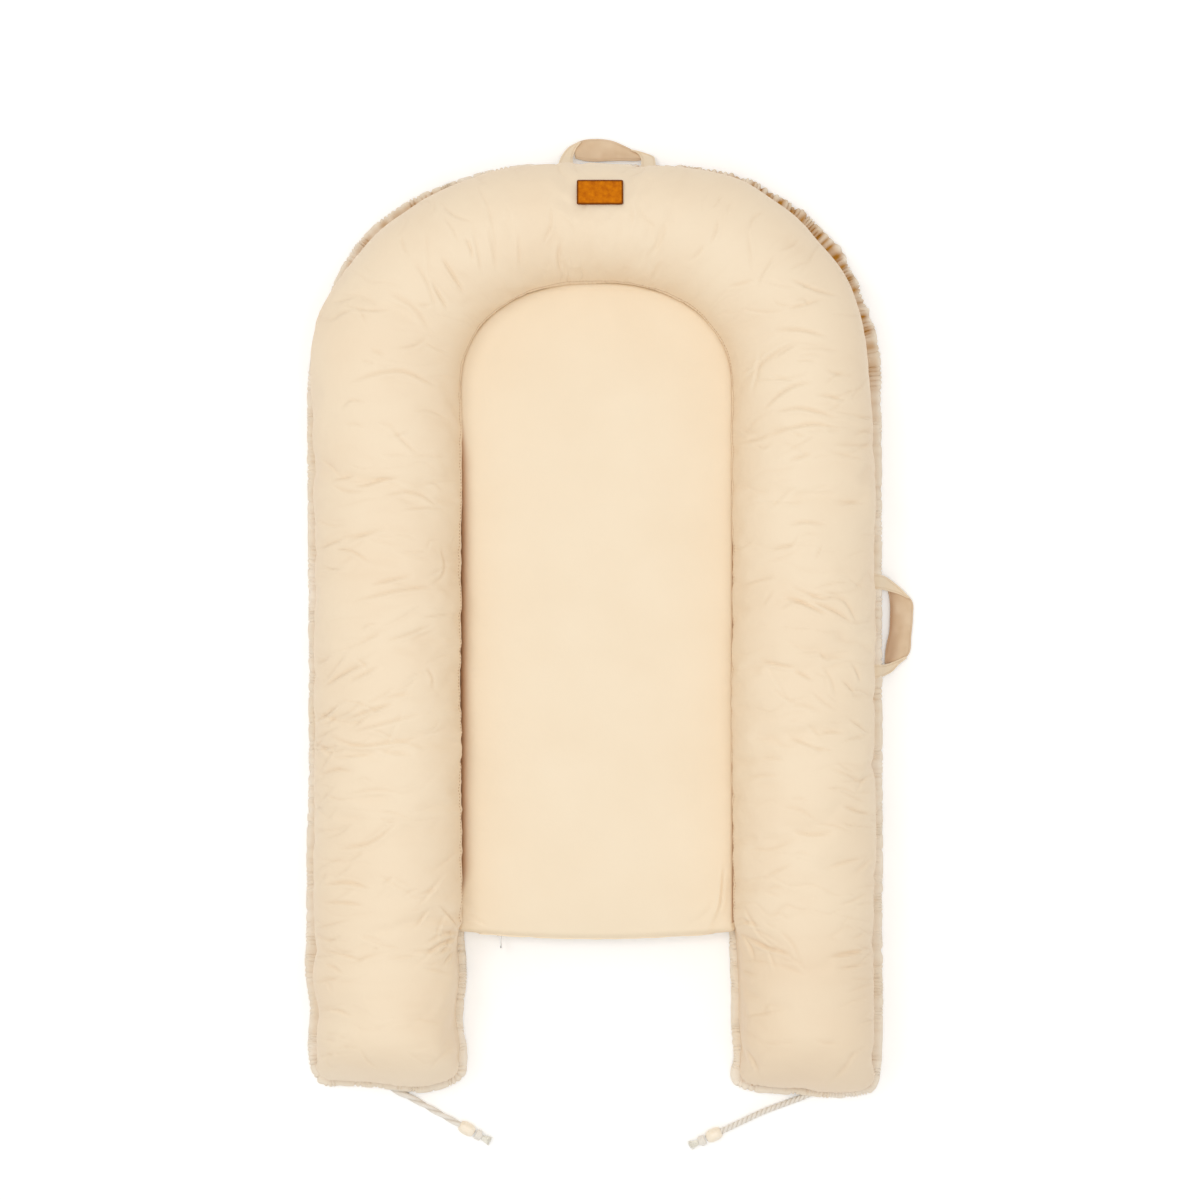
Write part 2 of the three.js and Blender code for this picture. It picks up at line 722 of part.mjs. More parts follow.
function padRing(inset, bow, z) {
  return padOutline(inset, bow).map((p) => new THREE.Vector3(p.x, p.y, z));
}

// The crowned face of the pad, from its middle to its rounded shoulder, lowered and drawn in alike.
function crownRings(drawnIn, bow) {
  const half = padHalf - padShoulder;
  const shoulderZ = THREE.MathUtils.lerp(padEdgeZ, padCrownZ, shoulderRiseShare);
  const roundZ = THREE.MathUtils.lerp(padEdgeZ, padCrownZ, edgeRiseShare);
  const rings = [...padRingShares, 0].map((share) => {
    const rise = 1 - (1 - share) ** padCrownPower;
    const z = THREE.MathUtils.lerp(shoulderZ, padCrownZ, rise);
    return padRing(padShoulder + half * share * crownSpanShare + drawnIn, bow * (1 - share), z - drawnIn);
  });
  rings.push(padRing(padShoulder * edgeRoundShare + drawnIn, bow, roundZ - drawnIn));
  rings.push(padRing(drawnIn, bow, padEdgeZ - drawnIn));
  return rings;
}

function padFoam() {
  const drawnIn = clothThickness + seatGap;
  const rings = crownRings(drawnIn, 0);
  rings.push(padRing(drawnIn, 0, baseThickness + seatGap));
  const footY = padCornerY + drawnIn + foamFootSetBack;
  return loft(rings.map((ring) => ring.map((p) => p.setY(Math.max(p.y, footY)))));
}

function padCover() {
  const outer = [...crownRings(0, padFootBow), padRing(0, 0, padSkirtZ)];
  const inner = [...crownRings(clothThickness, padFootBow), padRing(clothThickness, 0, padSkirtZ)];
  return loft([...outer, ...inner.reverse()]);
}

place('pad_foam', padFoam(), foamWhite);
place('pad_cover', padCover(), padCream, 0.75);

// Base panel: flat under the bolster and the pad, with a lip that the lower zip tape is sewn to
const tapeFrontY = padCornerY - tapeThickness;

function basePanel() {
  const edgeHalf = casingOuterHalf - casingWidth - edgeGap;
  const footY = panelEndY;
  const outerCorner = footCornerRadius - casingWidth / 2 - edgeGap;
  const innerX = innerHemEdgeX + innerHemWidth + edgeGap;
  const innerCorner = innerHemCornerRadius - innerHemWidth / 2;
  const padFootX = padHalf - padCornerRadius;
  const legTopY = padCornerY - padFootBow - innerHemWidth / 2 + edgeGap + casingHeight / 2;
  const half = [];
  for (let i = 0; i <= archStations; i += 1) {
    const angle = (Math.PI / 2) * (1 - i / archStations);
    const casingReach = superellipse(angle, casingOuterHalf, casingOuterRise, casingArchPower);
    const reach = casingReach - casingWidth - edgeGap;
    half.push([reach * Math.cos(angle), archStartY + reach * Math.sin(angle)]);
  }
  for (const p of arcPoints(edgeHalf - outerCorner, footY + outerCorner, outerCorner, 0, -Math.PI / 2)) {
    half.push([p.x, p.y]);
  }
  const innerMiddle = [innerX + innerCorner, footY + innerCorner];
  for (const p of arcPoints(...innerMiddle, innerCorner, -Math.PI / 2, -Math.PI)) {
    half.push([p.x, p.y]);
  }
  half.push([innerX, legTopY], [padFootX, tapeFrontY]);
  const outline = [...half, ...half.slice(1).reverse().map(([x, y]) => [-x, y])];
  const lip = block(
    [-zipHalfLength, tapeFrontY, 0],
    [zipHalfLength, padCornerY, lowerTapeLowZ - seatGap],
  );
  return join(plate(outline, 0, baseThickness), lip);
}

place('base_panel', basePanel(), baseCream);

// Zip: two tapes, two coils that stand just parted, stops, a slider with its bail, and a pull

place('zip_tape_upper', block(
  [-zipHalfLength, tapeFrontY, zipMiddleZ + tapeInnerEdge],
  [zipHalfLength, padCornerY, padSkirtZ - seatGap],
), zipTapeBeige);
place('zip_tape_lower', block(
  [-zipHalfLength, tapeFrontY, lowerTapeLowZ],
  [zipHalfLength, padCornerY, zipMiddleZ - tapeInnerEdge],
), zipTapeBeige);

const coilBackY = tapeFrontY - seatGap;
const coilFrontY = coilBackY - coilDepth;

// A coil: a comb of turns along a core, its tips towards the slit between the two coils.
function zipCoil(side) {
  const tip = zipSlitHalf;
  const root = zipSlitHalf + coilToothLength;
  const back = root + coilSpineWidth;
  const length = coilOpenEndX - coilClosedEndX;
  const teeth = Math.round(length / coilToothPitch);
  const pitch = length / teeth;
  const phase = side > 0 ? 0 : pitch / 2;
  const outline = [[coilClosedEndX, back], [coilClosedEndX, root]];
  for (let i = 0; i < teeth - 1; i += 1) {
    const start = coilClosedEndX + phase + pitch * (i + coilToothStartShare);
    const end = start + pitch * coilToothShare;
    outline.push([start, root], [start, tip], [end, tip], [end, root]);
  }
  outline.push([coilOpenEndX, root], [coilOpenEndX, back]);
  const comb = plate(outline.map(([x, z]) => [x, z * side]), 0, coilDepth);
  return comb.rotateX(Math.PI / 2).translate(0, coilBackY, zipMiddleZ);
}

place('zip_coil_upper', zipCoil(1), zipNylon, 0.5);
place('zip_coil_lower', zipCoil(-1), zipNylon, 0.5);

// A stop clamped on each tape past the closed end, and one across both past the open end
const coilHalfHeight = zipSlitHalf + coilToothLength + coilSpineWidth;
const stopBox = (lowX, lowZ, highZ) => block(
  [lowX, coilFrontY, zipMiddleZ + lowZ],
  [lowX + stopLength, coilBackY, zipMiddleZ + highZ],
);
const closedStopX = coilClosedEndX - stopGap - stopLength;
place('zip_top_stop_upper', stopBox(closedStopX, zipSlitHalf, coilHalfHeight), zincSilver, 0.35, 0.9);
place('zip_top_stop_lower', stopBox(closedStopX, -coilHalfHeight, -zipSlitHalf), zincSilver, 0.35, 0.9);
const openStopX = coilOpenEndX + stopGap;
place('zip_bottom_stop', stopBox(openStopX, -coilHalfHeight, coilHalfHeight), zincSilver, 0.35, 0.9);

// Slider: a plate on each side of the chain, joined by a post in the slit, with rolled edges and a bail
const sliderFrontY = coilFrontY - sliderRunGap;
const sliderBackY = padCornerY + sliderRunGap;
const pullAxisY = sliderFrontY - sliderPlate - (bailHeight - bailThickness) / 2;

function zipSlider() {
  const [lowX, highX] = [sliderX - sliderLength / 2, sliderX + sliderLength / 2];
  const body = (depthLow, depthHigh, half, from = lowX, to = highX) => block(
    [from, depthLow, zipMiddleZ - half],
    [to, depthHigh, zipMiddleZ + half],
  );
  const wing = (half) => {
    const waist = half * sliderWaistShare;
    const outline = [
      [lowX, -half], [sliderX, -half], [highX, -waist], [highX, waist], [sliderX, half], [lowX, half],
    ];
    return plate(outline, 0, sliderPlate).rotateX(Math.PI / 2);
  };
  const front = wing(sliderFrontHalf).translate(0, sliderFrontY, zipMiddleZ);
  const back = wing(sliderBackHalf).translate(0, sliderBackY + sliderPlate, zipMiddleZ);
  const post = body(sliderFrontY, sliderBackY, sliderPostThickness / 2, lowX, lowX + sliderPostLength);
  const flangeReach = coilBackY - seatGap;
  const flanges = [-1, 1].map((side) => {
    const edges = [side * sliderFrontHalf, side * (sliderFrontHalf - sliderFlange)];
    return block(
      [lowX, sliderFrontY - sliderPlate / 2, zipMiddleZ + Math.min(...edges)],
      [sliderX, flangeReach, zipMiddleZ + Math.max(...edges)],
    );
  });
  const bailBackY = sliderFrontY - sliderPlate / 2;
  const bailFrontY = sliderFrontY - sliderPlate - bailHeight;
  const bail = cut(
    body(bailFrontY, bailBackY, bailWidth / 2, sliderX - bailSpan / 2, sliderX + bailSpan / 2),
    block(
      [sliderX - bailSpan / 2 + bailThickness, bailFrontY + bailThickness, zipMiddleZ - bailWidth],
      [sliderX + bailSpan / 2 - bailThickness, sliderFrontY - sliderPlate, zipMiddleZ + bailWidth],
    ),
  );
  return join(front, back, post, ...flanges, bail);
}

place('zip_slider', zipSlider(), zincSilver, 0.35, 0.9);

// Pull: a flat tongue with a window whose bar hangs in the bail, and a hole near its tip
function zipPull() {
  const root = pullBar / 2;
  const tip = -pullLength;
  const outline = new THREE.Shape();
  outline.moveTo(root, -pullHalfHeight);
  outline.lineTo(root, pullHalfHeight);
  outline.lineTo(tip + pullHalfHeight, pullHalfHeight);
  outline.absarc(tip + pullHalfHeight, 0, pullHalfHeight, Math.PI / 2, 1.5 * Math.PI, false);
  outline.lineTo(root, -pullHalfHeight);
  const window = new THREE.Path();
  window.moveTo(-root, -pullWindowHalf);
  window.lineTo(-root - pullWindowLength, -pullWindowHalf);
  window.lineTo(-root - pullWindowLength, pullWindowHalf);
  window.lineTo(-root, pullWindowHalf);
  window.lineTo(-root, -pullWindowHalf);
  const hole = new THREE.Path();
  hole.absarc(tip + pullHalfHeight, 0, pullHoleRadius, 0, 2 * Math.PI, true);
  outline.holes.push(window, hole);
  const tongue = new THREE.ExtrudeGeometry(outline, {
    depth: pullThickness, bevelEnabled: false, curveSegments: pullCurveSegments,
  });
  const frame = new THREE.Matrix4().makeBasis(
    new THREE.Vector3(0, 1, 0), new THREE.Vector3(0, 0, 1), new THREE.Vector3(1, 0, 0),
  );
  const middled = tongue.translate(0, 0, -pullThickness / 2);
  return middled.applyMatrix4(frame).translate(sliderX, pullAxisY, zipMiddleZ);
}

place('zip_pull', zipPull(), zincSilver, 0.35, 0.9);

// Strap handle, with its brim along X and its reach along Y: the middle lies under the two folded ends.
// brimAt gives how far the brim lies from a straight line there.
function strapHandle(brimAt = () => 0) {
  const arm = (side) => [
    [side * handleHalfLength, brimAt(side * handleHalfLength)], [side * armKneeHalf, armKneeReach],
    [side * armFoldHalf, armFoldReach], [side * (armInnerHalf - middleTuck), handleSlit],
    [side * armInnerHalf, brimAt(side * armInnerHalf)],
  ];
  const middle = [
    [-armInnerHalf - middleTuck, handleSlit], [armInnerHalf + middleTuck, handleSlit],
    [armFoldHalf, armFoldReach], [middleOuterHalf, handleReach],
    [-middleOuterHalf, handleReach], [-armFoldHalf, armFoldReach],
  ];
  const armZ = strapLowZ + strapThickness - strapOverlap;
  return join(
    plate(middle, strapLowZ, strapThickness),
    plate(arm(1).reverse(), armZ, strapThickness),
    plate(arm(-1), armZ, strapThickness),
  );
}

const brimHeadY = archStartY + casingOuterRise + brimGap;
const brimSideX = casingOuterHalf + brimGap;

// How far the curved brim at the head lies behind its foremost point, beside the handle's middle.
function headBrimAt(x) {
  const share = Math.abs(x + handleHeadX) / casingOuterHalf;
  return casingOuterRise * ((1 - share ** casingArchPower) ** (1 / casingArchPower) - 1);
}

place('handle_head', strapHandle(headBrimAt).translate(handleHeadX, brimHeadY, 0), strapBeige, 0.85);
const sideStrap = strapHandle().rotateZ(-Math.PI / 2);
place('handle_side', sideStrap.translate(brimSideX, handleSideY, 0), strapBeige, 0.85);

// Leather patch, sewn on the head of the bolster and following its curve

// The height of the top panel above a plan place on the arch.
function headSurfaceZ(x, y) {
  const angle = Math.atan2(y - archStartY, x);
  const station = archStation(angle);
  const middle = (station.outer + station.inner) / 2;
  const share = (Math.hypot(x, y - archStartY) - middle) / ((station.outer - station.inner) / 2);
  const rise = (1 - Math.abs(share) ** sectionTopPower) ** (1 / sectionTopPower);
  return THREE.MathUtils.lerp(fullMiddleZ, bolsterTopZ, rise);
}

function leatherPatch() {
  const rings = [];
  for (let i = 0; i <= patchColumns; i += 1) {
    const x = patchX + patchLength * (i / patchColumns - 0.5);
    const low = [];
    const high = [];
    for (let j = 0; j <= patchRows; j += 1) {
      const y = patchY + patchWidth * (j / patchRows - 0.5);
      const z = headSurfaceZ(x, y) + patchLift;
      low.push(new THREE.Vector3(x, y, z));
      high.push(new THREE.Vector3(x, y, z + patchThickness));
    }
    rings.push([...low, ...high.reverse()]);
  }
  return loft(rings, true);
}

place('leather_patch', leatherPatch(), leatherTan, 0.55);

// Report of the model's size
let facets = 0;
for (const { geometry } of lounger.children) {
  facets += (geometry.index ?? geometry.attributes.position).count / 3;
}
console.log(`${lounger.children.length} pieces, ${facets} facets`);

export default lounger;
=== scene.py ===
# %% [markdown]
# # An infant lounger, seen from above
#
# The real one is sewn from cream cotton: a stuffed bolster bent into an upside-down U, a shallow pad inside it,
# and a gathered casing round the base that holds a drawcord. Its model gives every hard size. This notebook dresses
# that model: each cell makes one piece from a formula, gives it a finish, and says on which body it moves.

import bpy
import numpy as np
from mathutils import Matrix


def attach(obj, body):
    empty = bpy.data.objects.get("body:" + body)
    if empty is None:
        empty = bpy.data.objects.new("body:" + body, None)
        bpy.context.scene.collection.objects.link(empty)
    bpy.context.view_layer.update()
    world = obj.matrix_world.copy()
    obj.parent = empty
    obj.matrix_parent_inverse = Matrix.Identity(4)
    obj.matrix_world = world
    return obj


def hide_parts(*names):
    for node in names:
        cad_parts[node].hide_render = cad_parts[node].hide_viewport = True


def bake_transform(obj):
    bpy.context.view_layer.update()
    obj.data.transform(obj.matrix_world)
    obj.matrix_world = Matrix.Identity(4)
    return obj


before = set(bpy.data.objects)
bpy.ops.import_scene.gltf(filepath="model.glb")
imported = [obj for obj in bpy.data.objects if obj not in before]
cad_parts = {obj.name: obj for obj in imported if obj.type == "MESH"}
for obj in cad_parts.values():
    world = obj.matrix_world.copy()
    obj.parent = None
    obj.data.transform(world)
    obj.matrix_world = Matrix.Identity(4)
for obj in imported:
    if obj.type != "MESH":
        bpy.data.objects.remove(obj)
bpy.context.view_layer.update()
MM = 0.001

# %% [markdown]
# ## The camera
#
# The photograph looks straight down from about two and a half metres. A 75 mm lens on a 36 mm sensor then covers
# 1.15 m of floor, and 600 pixels are 576 mm there. One pixel at height z is smaller by (2400 - z) / 2400.

# %% Camera
EYE = np.array([3.4, 27.0, 2400.0])
FLOOR_PIXEL = 0.96

camera = bpy.data.objects.new("camera", bpy.data.cameras.new("camera"))
camera.data.lens = 75
camera.data.sensor_width = 36
camera.location = EYE * MM
bpy.context.scene.collection.objects.link(camera)
bpy.context.scene.camera = camera
bpy.context.scene.view_settings.view_transform = "Standard"


def to_photo(points):
    """Pixels of the photograph where points (mm) show: 600 + offset from the camera's axis / pixel size at z."""
    pixel = FLOOR_PIXEL * (EYE[2] - points[..., 2]) / EYE[2]
    return 600 + (points[..., 0] - EYE[0]) / pixel, 600 - (points[..., 1] - EYE[1]) / pixel


def from_photo(places):
    """Points (mm) from rows of pixel x, pixel y and height z: the inverse of to_photo."""
    places = np.asarray(places, float)
    pixel = FLOOR_PIXEL * (EYE[2] - places[:, 2]) / EYE[2]
    x = EYE[0] + (places[:, 0] - 600) * pixel
    y = EYE[1] + (600 - places[:, 1]) * pixel
    return np.stack([x, y, places[:, 2]], 1)


# %% [markdown]
# ## Helpers for shapes
#
# Every piece below is a grid of points: rows run along it and columns run round or across it. One function turns
# such a grid into a mesh. Its UV map holds real lengths in millimetres, so that a weave keeps its size on every
# piece. Small uneven things, such as lumps of filling, come from smooth noise with a fixed seed.


# %% Easing and noise
def ease(share):
    """0 below 0, 1 above 1, and share^2 (3 - 2 share) between, which starts and ends level."""
    share = np.clip(share, 0.0, 1.0)
    return share * share * (3.0 - 2.0 * share)


def lerp(low, high, share):
    """low at share 0 and high at share 1: low + (high - low) share."""
    return low + (high - low) * share


def noise(x, y, seed):
    """Smooth noise from -1 to 1: one random value at each whole x and y, eased between its four neighbours."""
    table = np.random.default_rng(seed).uniform(-1, 1, (128, 128))
    x, y = np.broadcast_arrays(np.asarray(x, float), np.asarray(y, float))
    i, j = np.floor(x).astype(int), np.floor(y).astype(int)
    u, v = ease(x - i), ease(y - j)
    corner = [table[(i + di) % 128, (j + dj) % 128] for di in (0, 1) for dj in (0, 1)]
    return lerp(lerp(corner[0], corner[1], v), lerp(corner[2], corner[3], v), u)


# %% Grids of points to meshes
def put_mesh(name, points, faces, uvs, material):
    """An object from points (mm), arrays of faces with equal corner counts, and a length pair for each corner."""
    mesh = bpy.data.meshes.new(name)
    mesh.vertices.add(len(points))
    mesh.vertices.foreach_set("co", (np.asarray(points) * MM).astype(np.float32).ravel())
    corners = np.concatenate([face.ravel() for face in faces]).astype(np.int32)
    sides = np.concatenate([np.full(len(face), face.shape[1]) for face in faces])
    mesh.loops.add(len(corners))
    mesh.loops.foreach_set("vertex_index", corners)
    mesh.polygons.add(len(sides))
    mesh.polygons.foreach_set("loop_start", (np.cumsum(sides) - sides).astype(np.int32))
    mesh.update(calc_edges=True)
    layer = mesh.uv_layers.new(name="cloth")
    layer.data.foreach_set("uv", np.concatenate([uv.reshape(-1) for uv in uvs]).astype(np.float32))
    mesh.shade_smooth()
    mesh.materials.append(material)
    piece = bpy.data.objects.new(name, mesh)
    bpy.context.scene.collection.objects.link(piece)
    return piece


def run_lengths(points):
    """The length from the first point to each point of a line: the running sum of its steps."""
    steps = np.linalg.norm(np.diff(points, axis=0), axis=1)
    return np.concatenate([[0.0], np.cumsum(steps)])


def grid_faces(grid, wrap, first=0):
    """Faces and length pairs of a grid: each square of four neighbours, and across the join if it wraps."""
    rows, columns = grid.shape[:2]
    along = run_lengths(grid[:, columns // 2])
    ring = grid[rows // 2]
    across = run_lengths(np.vstack([ring, ring[:1]]) if wrap else ring)
    r, c = np.meshgrid(np.arange(rows - 1), np.arange(columns if wrap else columns - 1), indexing="ij")
    r, c = r.ravel(), c.ravel()
    steps = ((0, 0), (1, 0), (1, 1), (0, 1))
    faces = np.stack([first + (r + i) * columns + (c + j) % columns for i, j in steps], 1)
    uv = np.stack([np.stack([along[r + i], across[c + j]], 1) for i, j in steps], 1)
    return faces, uv


def put_copies(name, grids, material, both_ends):
    """One piece of many equal tubes, from copies x rows x columns of points, shut at the far end or at both."""
    copies, rows, columns = grids.shape[:3]
    start = (np.arange(copies) * rows * columns)[:, None]
    face, uv = grid_faces(grids[0], True)
    faces = [(face[None] + start[..., None]).reshape(-1, 4)]
    if both_ends:
        faces.append(start + np.arange(columns))
    faces.append(start + (rows - 1) * columns + np.arange(columns)[::-1])
    flat_ends = [np.zeros((copies, columns, 2))] * (len(faces) - 1)
    return put_mesh(name, grids.reshape(-1, 3), faces, [np.tile(uv, (copies, 1, 1)), *flat_ends], material)


def put_grid(name, grid, material, wrap=False, closed=False):
    """A surface through a grid of points. closed shuts both end rows with a fan to their mean point.

    Faces point outwards: a wrapped grid is turned round if its signed volume, the sum of a . (b x c) / 6 over its
    triangles, is below zero, and an open one if most of it faces down.
    """
    points = grid.reshape(-1, 3)
    faces, uv = grid_faces(grid, wrap)
    a, b, c, d = (points[faces[:, k]] for k in range(4))
    if wrap:
        facing = np.einsum("ij,ij->", a, np.cross(b, c)) + np.einsum("ij,ij->", a, np.cross(c, d))
    else:
        facing = np.cross(c - a, d - b)[:, 2].sum()
    all_faces, all_uv = [faces], [uv]
    if closed:
        count = grid.shape[1]
        points = np.vstack([points, grid[0].mean(0), grid[-1].mean(0)])
        here = np.arange(count)
        after = (here + 1) % count
        last = (grid.shape[0] - 1) * count
        first_cap = np.stack([np.full(count, len(points) - 2), here, after], 1)
        last_cap = np.stack([np.full(count, len(points) - 1), last + after, last + here], 1)
        all_faces += [first_cap, last_cap]
        all_uv += [np.zeros((count, 3, 2)), np.zeros((count, 3, 2))]
    if facing < 0:
        all_faces = [face[:, ::-1] for face in all_faces]
        all_uv = [pair[:, ::-1] for pair in all_uv]
    return put_mesh(name, points, all_faces, all_uv, material)


def mark_painted_shade(piece, depth):
    """Keeps the painted shade of each point, from 0 to 1, as an attribute that its finish reads."""
    values = np.zeros(len(piece.data.vertices), np.float32)
    values[: depth.size] = np.clip(depth, 0, 1).ravel()
    piece.data.attributes.new("painted_shade", "FLOAT", "POINT").data.foreach_set("value", values)


def put_tube(name, grid, material, folds=None):
    """A closed tube through rings of points, with painted shade for its folds and grooves if it has any."""
    piece = put_grid(name, grid, material, wrap=True, closed=True)
    if folds is not None:
        mark_painted_shade(piece, folds)
    return piece


def seat(piece, body, finish, *nodes):
    """Puts a piece on its body and lets it stand for its nodes of the model. finish is not used."""
    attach(piece, body)
    if nodes:
        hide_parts(*nodes)
    print(f"{piece.name}: {len(piece.data.polygons)} faces on {body}")
    return piece


# %% Lines and the directions beside them
def smooth_route(route, step):
    """A smooth line through a route's points, one point about each step (mm).

    Each stretch is a cubic. Its slope at a point is the mean of the two chords there, weighted by the other's length.
    """
    route = np.asarray(route, float)
    length = np.linalg.norm(np.diff(route, axis=0), axis=1)
    start = np.concatenate([[0.0], np.cumsum(length)])
    chord = np.diff(route, axis=0) / length[:, None]
    inner = (chord[:-1] * length[1:, None] + chord[1:] * length[:-1, None]) / (length[:-1] + length[1:])[:, None]
    slope = np.vstack([chord[:1], inner, chord[-1:]])
    at = np.linspace(0, start[-1], int(round(start[-1] / step)) + 1)
    i = np.clip(np.searchsorted(start, at, side="right") - 1, 0, len(length) - 1)
    u = ((at - start[i]) / length[i])[:, None]
    span = length[i][:, None]
    ends = route[i] * (1 + 2 * u) * (1 - u) ** 2 + route[i + 1] * u * u * (3 - 2 * u)
    return ends + span * (slope[i] * u * (1 - u) ** 2 - slope[i + 1] * u * u * (1 - u))


def even_line(points, step):
    """The same line with its points an even step apart, by looking up each coordinate at its length."""
    points = np.asarray(points, float)
    length = run_lengths(points)
    at = np.linspace(0, length[-1], int(round(length[-1] / step)) + 1)
    return np.stack([np.interp(at, length, points[:, k]) for k in range(points.shape[1])], 1)


def unit(vectors):
    """Vectors of length 1: each divided by its length."""
    return vectors / np.linalg.norm(vectors, axis=-1, keepdims=True)


def directions(line):
    """The direction in which a line runs at each of its points."""
    return unit(np.gradient(line, axis=0))


def beside(ahead):
    """For nearly level directions: the level ones on their right, and those square to both that point up."""
    right = unit(np.cross(ahead, [0.0, 0.0, 1.0]))
    return right, np.cross(right, ahead)


def ring_angles(columns):
    """The angles of a ring's points, evenly from 0 to just short of a full turn."""
    return np.linspace(0, 2 * np.pi, columns, endpoint=False)


def turned(right, up, angle):
    """Directions right cos a + up sin a."""
    return right * np.cos(angle)[..., None] + up * np.sin(angle)[..., None]


def ring_grid(line, right, up, radius, columns):
    """A ring at each point of a line: point + radius (right cos a + up sin a). The radius may differ everywhere."""
    radius = np.broadcast_to(radius, (len(line), columns))[..., None]
    return line[:, None] + radius * turned(right[:, None], up[:, None], ring_angles(columns))


# %% [markdown]
# ## Helpers for finishes
#
# A colour is written as the eye reads it, in sRGB hex, and one function turns it to the linear light that shaders
# need. A second small function adds a node with its settings and its links. Shade in folds of cloth and in grooves
# between strands is painted into a piece's tone in the same way, so that way is written once.


# %% Colours and nodes
def linear(hex_colour):
    """Linear light from sRGB hex: ((s + 0.055) / 1.055)^2.4, or s / 12.92 for the darkest tones."""
    tones = np.array([int(hex_colour[k : k + 2], 16) for k in (1, 3, 5)]) / 255
    light = np.where(tones > 0.04045, ((tones + 0.055) / 1.055) ** 2.4, tones / 12.92)
    return (*light.tolist(), 1.0)


def add(tree, kind, inputs=None, **settings):
    """A node of that kind. An input that is given a socket is linked to it, and any other takes the value."""
    node = tree.nodes.new("ShaderNode" + kind)
    for key, value in settings.items():
        setattr(node, key, value)
    for key, value in (inputs or {}).items():
        if isinstance(value, bpy.types.NodeSocket):
            tree.links.new(value, node.inputs[key])
        else:
            node.inputs[key].default_value = value
    return node


def new_finish(name, inputs):
    """A material, its node tree, and the Principled shader in it with these inputs set."""
    material = bpy.data.materials.new(name)
    material.use_nodes = True
    shader = material.node_tree.nodes["Principled BSDF"]
    for key, value in inputs.items():
        shader.inputs[key].default_value = value
    return material, material.node_tree, shader


def darkened(tree, tone, painted_dark):
    """The tone mixed with a dark colour by the share of painted shade that the piece holds at each point."""
    painted_shade = add(tree, "Attribute", attribute_name="painted_shade")
    mix = add(tree, "Mix", {0: painted_shade.outputs["Fac"], 6: tone, 7: linear(painted_dark)}, data_type="RGBA")
    return mix.outputs[2]


# %% [markdown]
# ## Light and floor
#
# The photograph has soft light from everywhere. A pale world gives most of it, a large lamp overhead gives the soft
# shadows under the bolster, and a small one by a window gives the folds a little relief. Together they light a white
# card to white, so that a colour shows about as it is written. The card's own glow grows with the distance from the
# lounger, so that it goes over into the white backdrop without an edge.

# %% World, lamps and floor
GLOW_FROM, GLOW_TO = 1.3, 3.0
NEAR_GLOW = 0.11


def backdrop_rays(tree):
    """1 for the rays that show a background, from the camera, off gloss or through glass: the largest of the three."""
    rays = add(tree, "LightPath")
    sees = add(tree, "Math", {0: rays.outputs["Is Camera Ray"], 1: rays.outputs["Is Glossy Ray"]}, operation="MAXIMUM")
    shows = add(tree, "Math", {0: sees.outputs[0], 1: rays.outputs["Is Transmission Ray"]}, operation="MAXIMUM")
    return shows.outputs[0]


world = bpy.data.worlds.new("studio")
bpy.context.scene.world = world
world.use_nodes = True
tree = world.node_tree
tree.nodes.clear()
around = add(tree, "Background", {"Color": linear("#FFFDFA"), "Strength": 0.68})
backdrop = add(tree, "Background", {"Color": linear("#FFFFFF"), "Strength": 1.0})
mixed = add(tree, "MixShader", {0: backdrop_rays(tree), 1: around.outputs[0], 2: backdrop.outputs[0]})
add(tree, "OutputWorld", {"Surface": mixed.outputs[0]})


def put_lamp(name, place, size, power, hex_colour):
    """A square lamp that faces the middle of the lounger. A white card square to it gets power / (pi d)^2."""
    lamp = bpy.data.lights.new(name, "AREA")
    lamp.size = size
    lamp.energy = power
    lamp.color = linear(hex_colour)[:3]
    holder = bpy.data.objects.new(name, lamp)
    holder.location = place
    holder.rotation_mode = "QUATERNION"
    holder.rotation_quaternion = holder.location.to_track_quat("Z", "Y")
    holder.visible_camera = False
    bpy.context.scene.collection.objects.link(holder)


put_lamp("window", (-1.0, 0.5, 2.7), 0.6, 9, "#FFFCF8")
put_lamp("sky", (0.1, -0.1, 3.2), 1.8, 27, "#FFFFFF")

floor_finish, tree, shader = new_finish("white_card", {
    "Base Color": linear("#FFFFFF"), "Roughness": 0.9, "Specular IOR Level": 0.1, "Emission Color": linear("#FFFFFF")})
place = add(tree, "TexCoord")
away = add(tree, "VectorMath", {0: place.outputs["Object"]}, operation="LENGTH")
glow = add(tree, "MapRange", {"Value": away.outputs["Value"], 1: GLOW_FROM, 2: GLOW_TO, 3: NEAR_GLOW, 4: 1.0},
           interpolation_type="SMOOTHSTEP")
lift = add(tree, "Math", {0: glow.outputs[0], 1: backdrop_rays(tree)}, operation="MULTIPLY")
tree.links.new(lift.outputs[0], shader.inputs["Emission Strength"])
corners = np.array([[[-1, -1, 0], [1, -1, 0]], [[-1, 1, 0], [1, 1, 0]]]) * 4000.0
floor = put_grid("floor", corners, floor_finish)

# %% [markdown]
# ## Cord tails
#
# Each end of the drawcord leaves the foot through a buttonhole and lies on the floor, 6 mm thick. Laid cotton is
# strands twisted round each other, so a tube whose radius dips between the strands, and whose dips turn with the
# length, is a true likeness and stays one closed skin. The left tail's two strands start side by side.


# %% Undyed cotton for cords: matt, bright, with fine fibres along the lay
STRIPE = 0.314


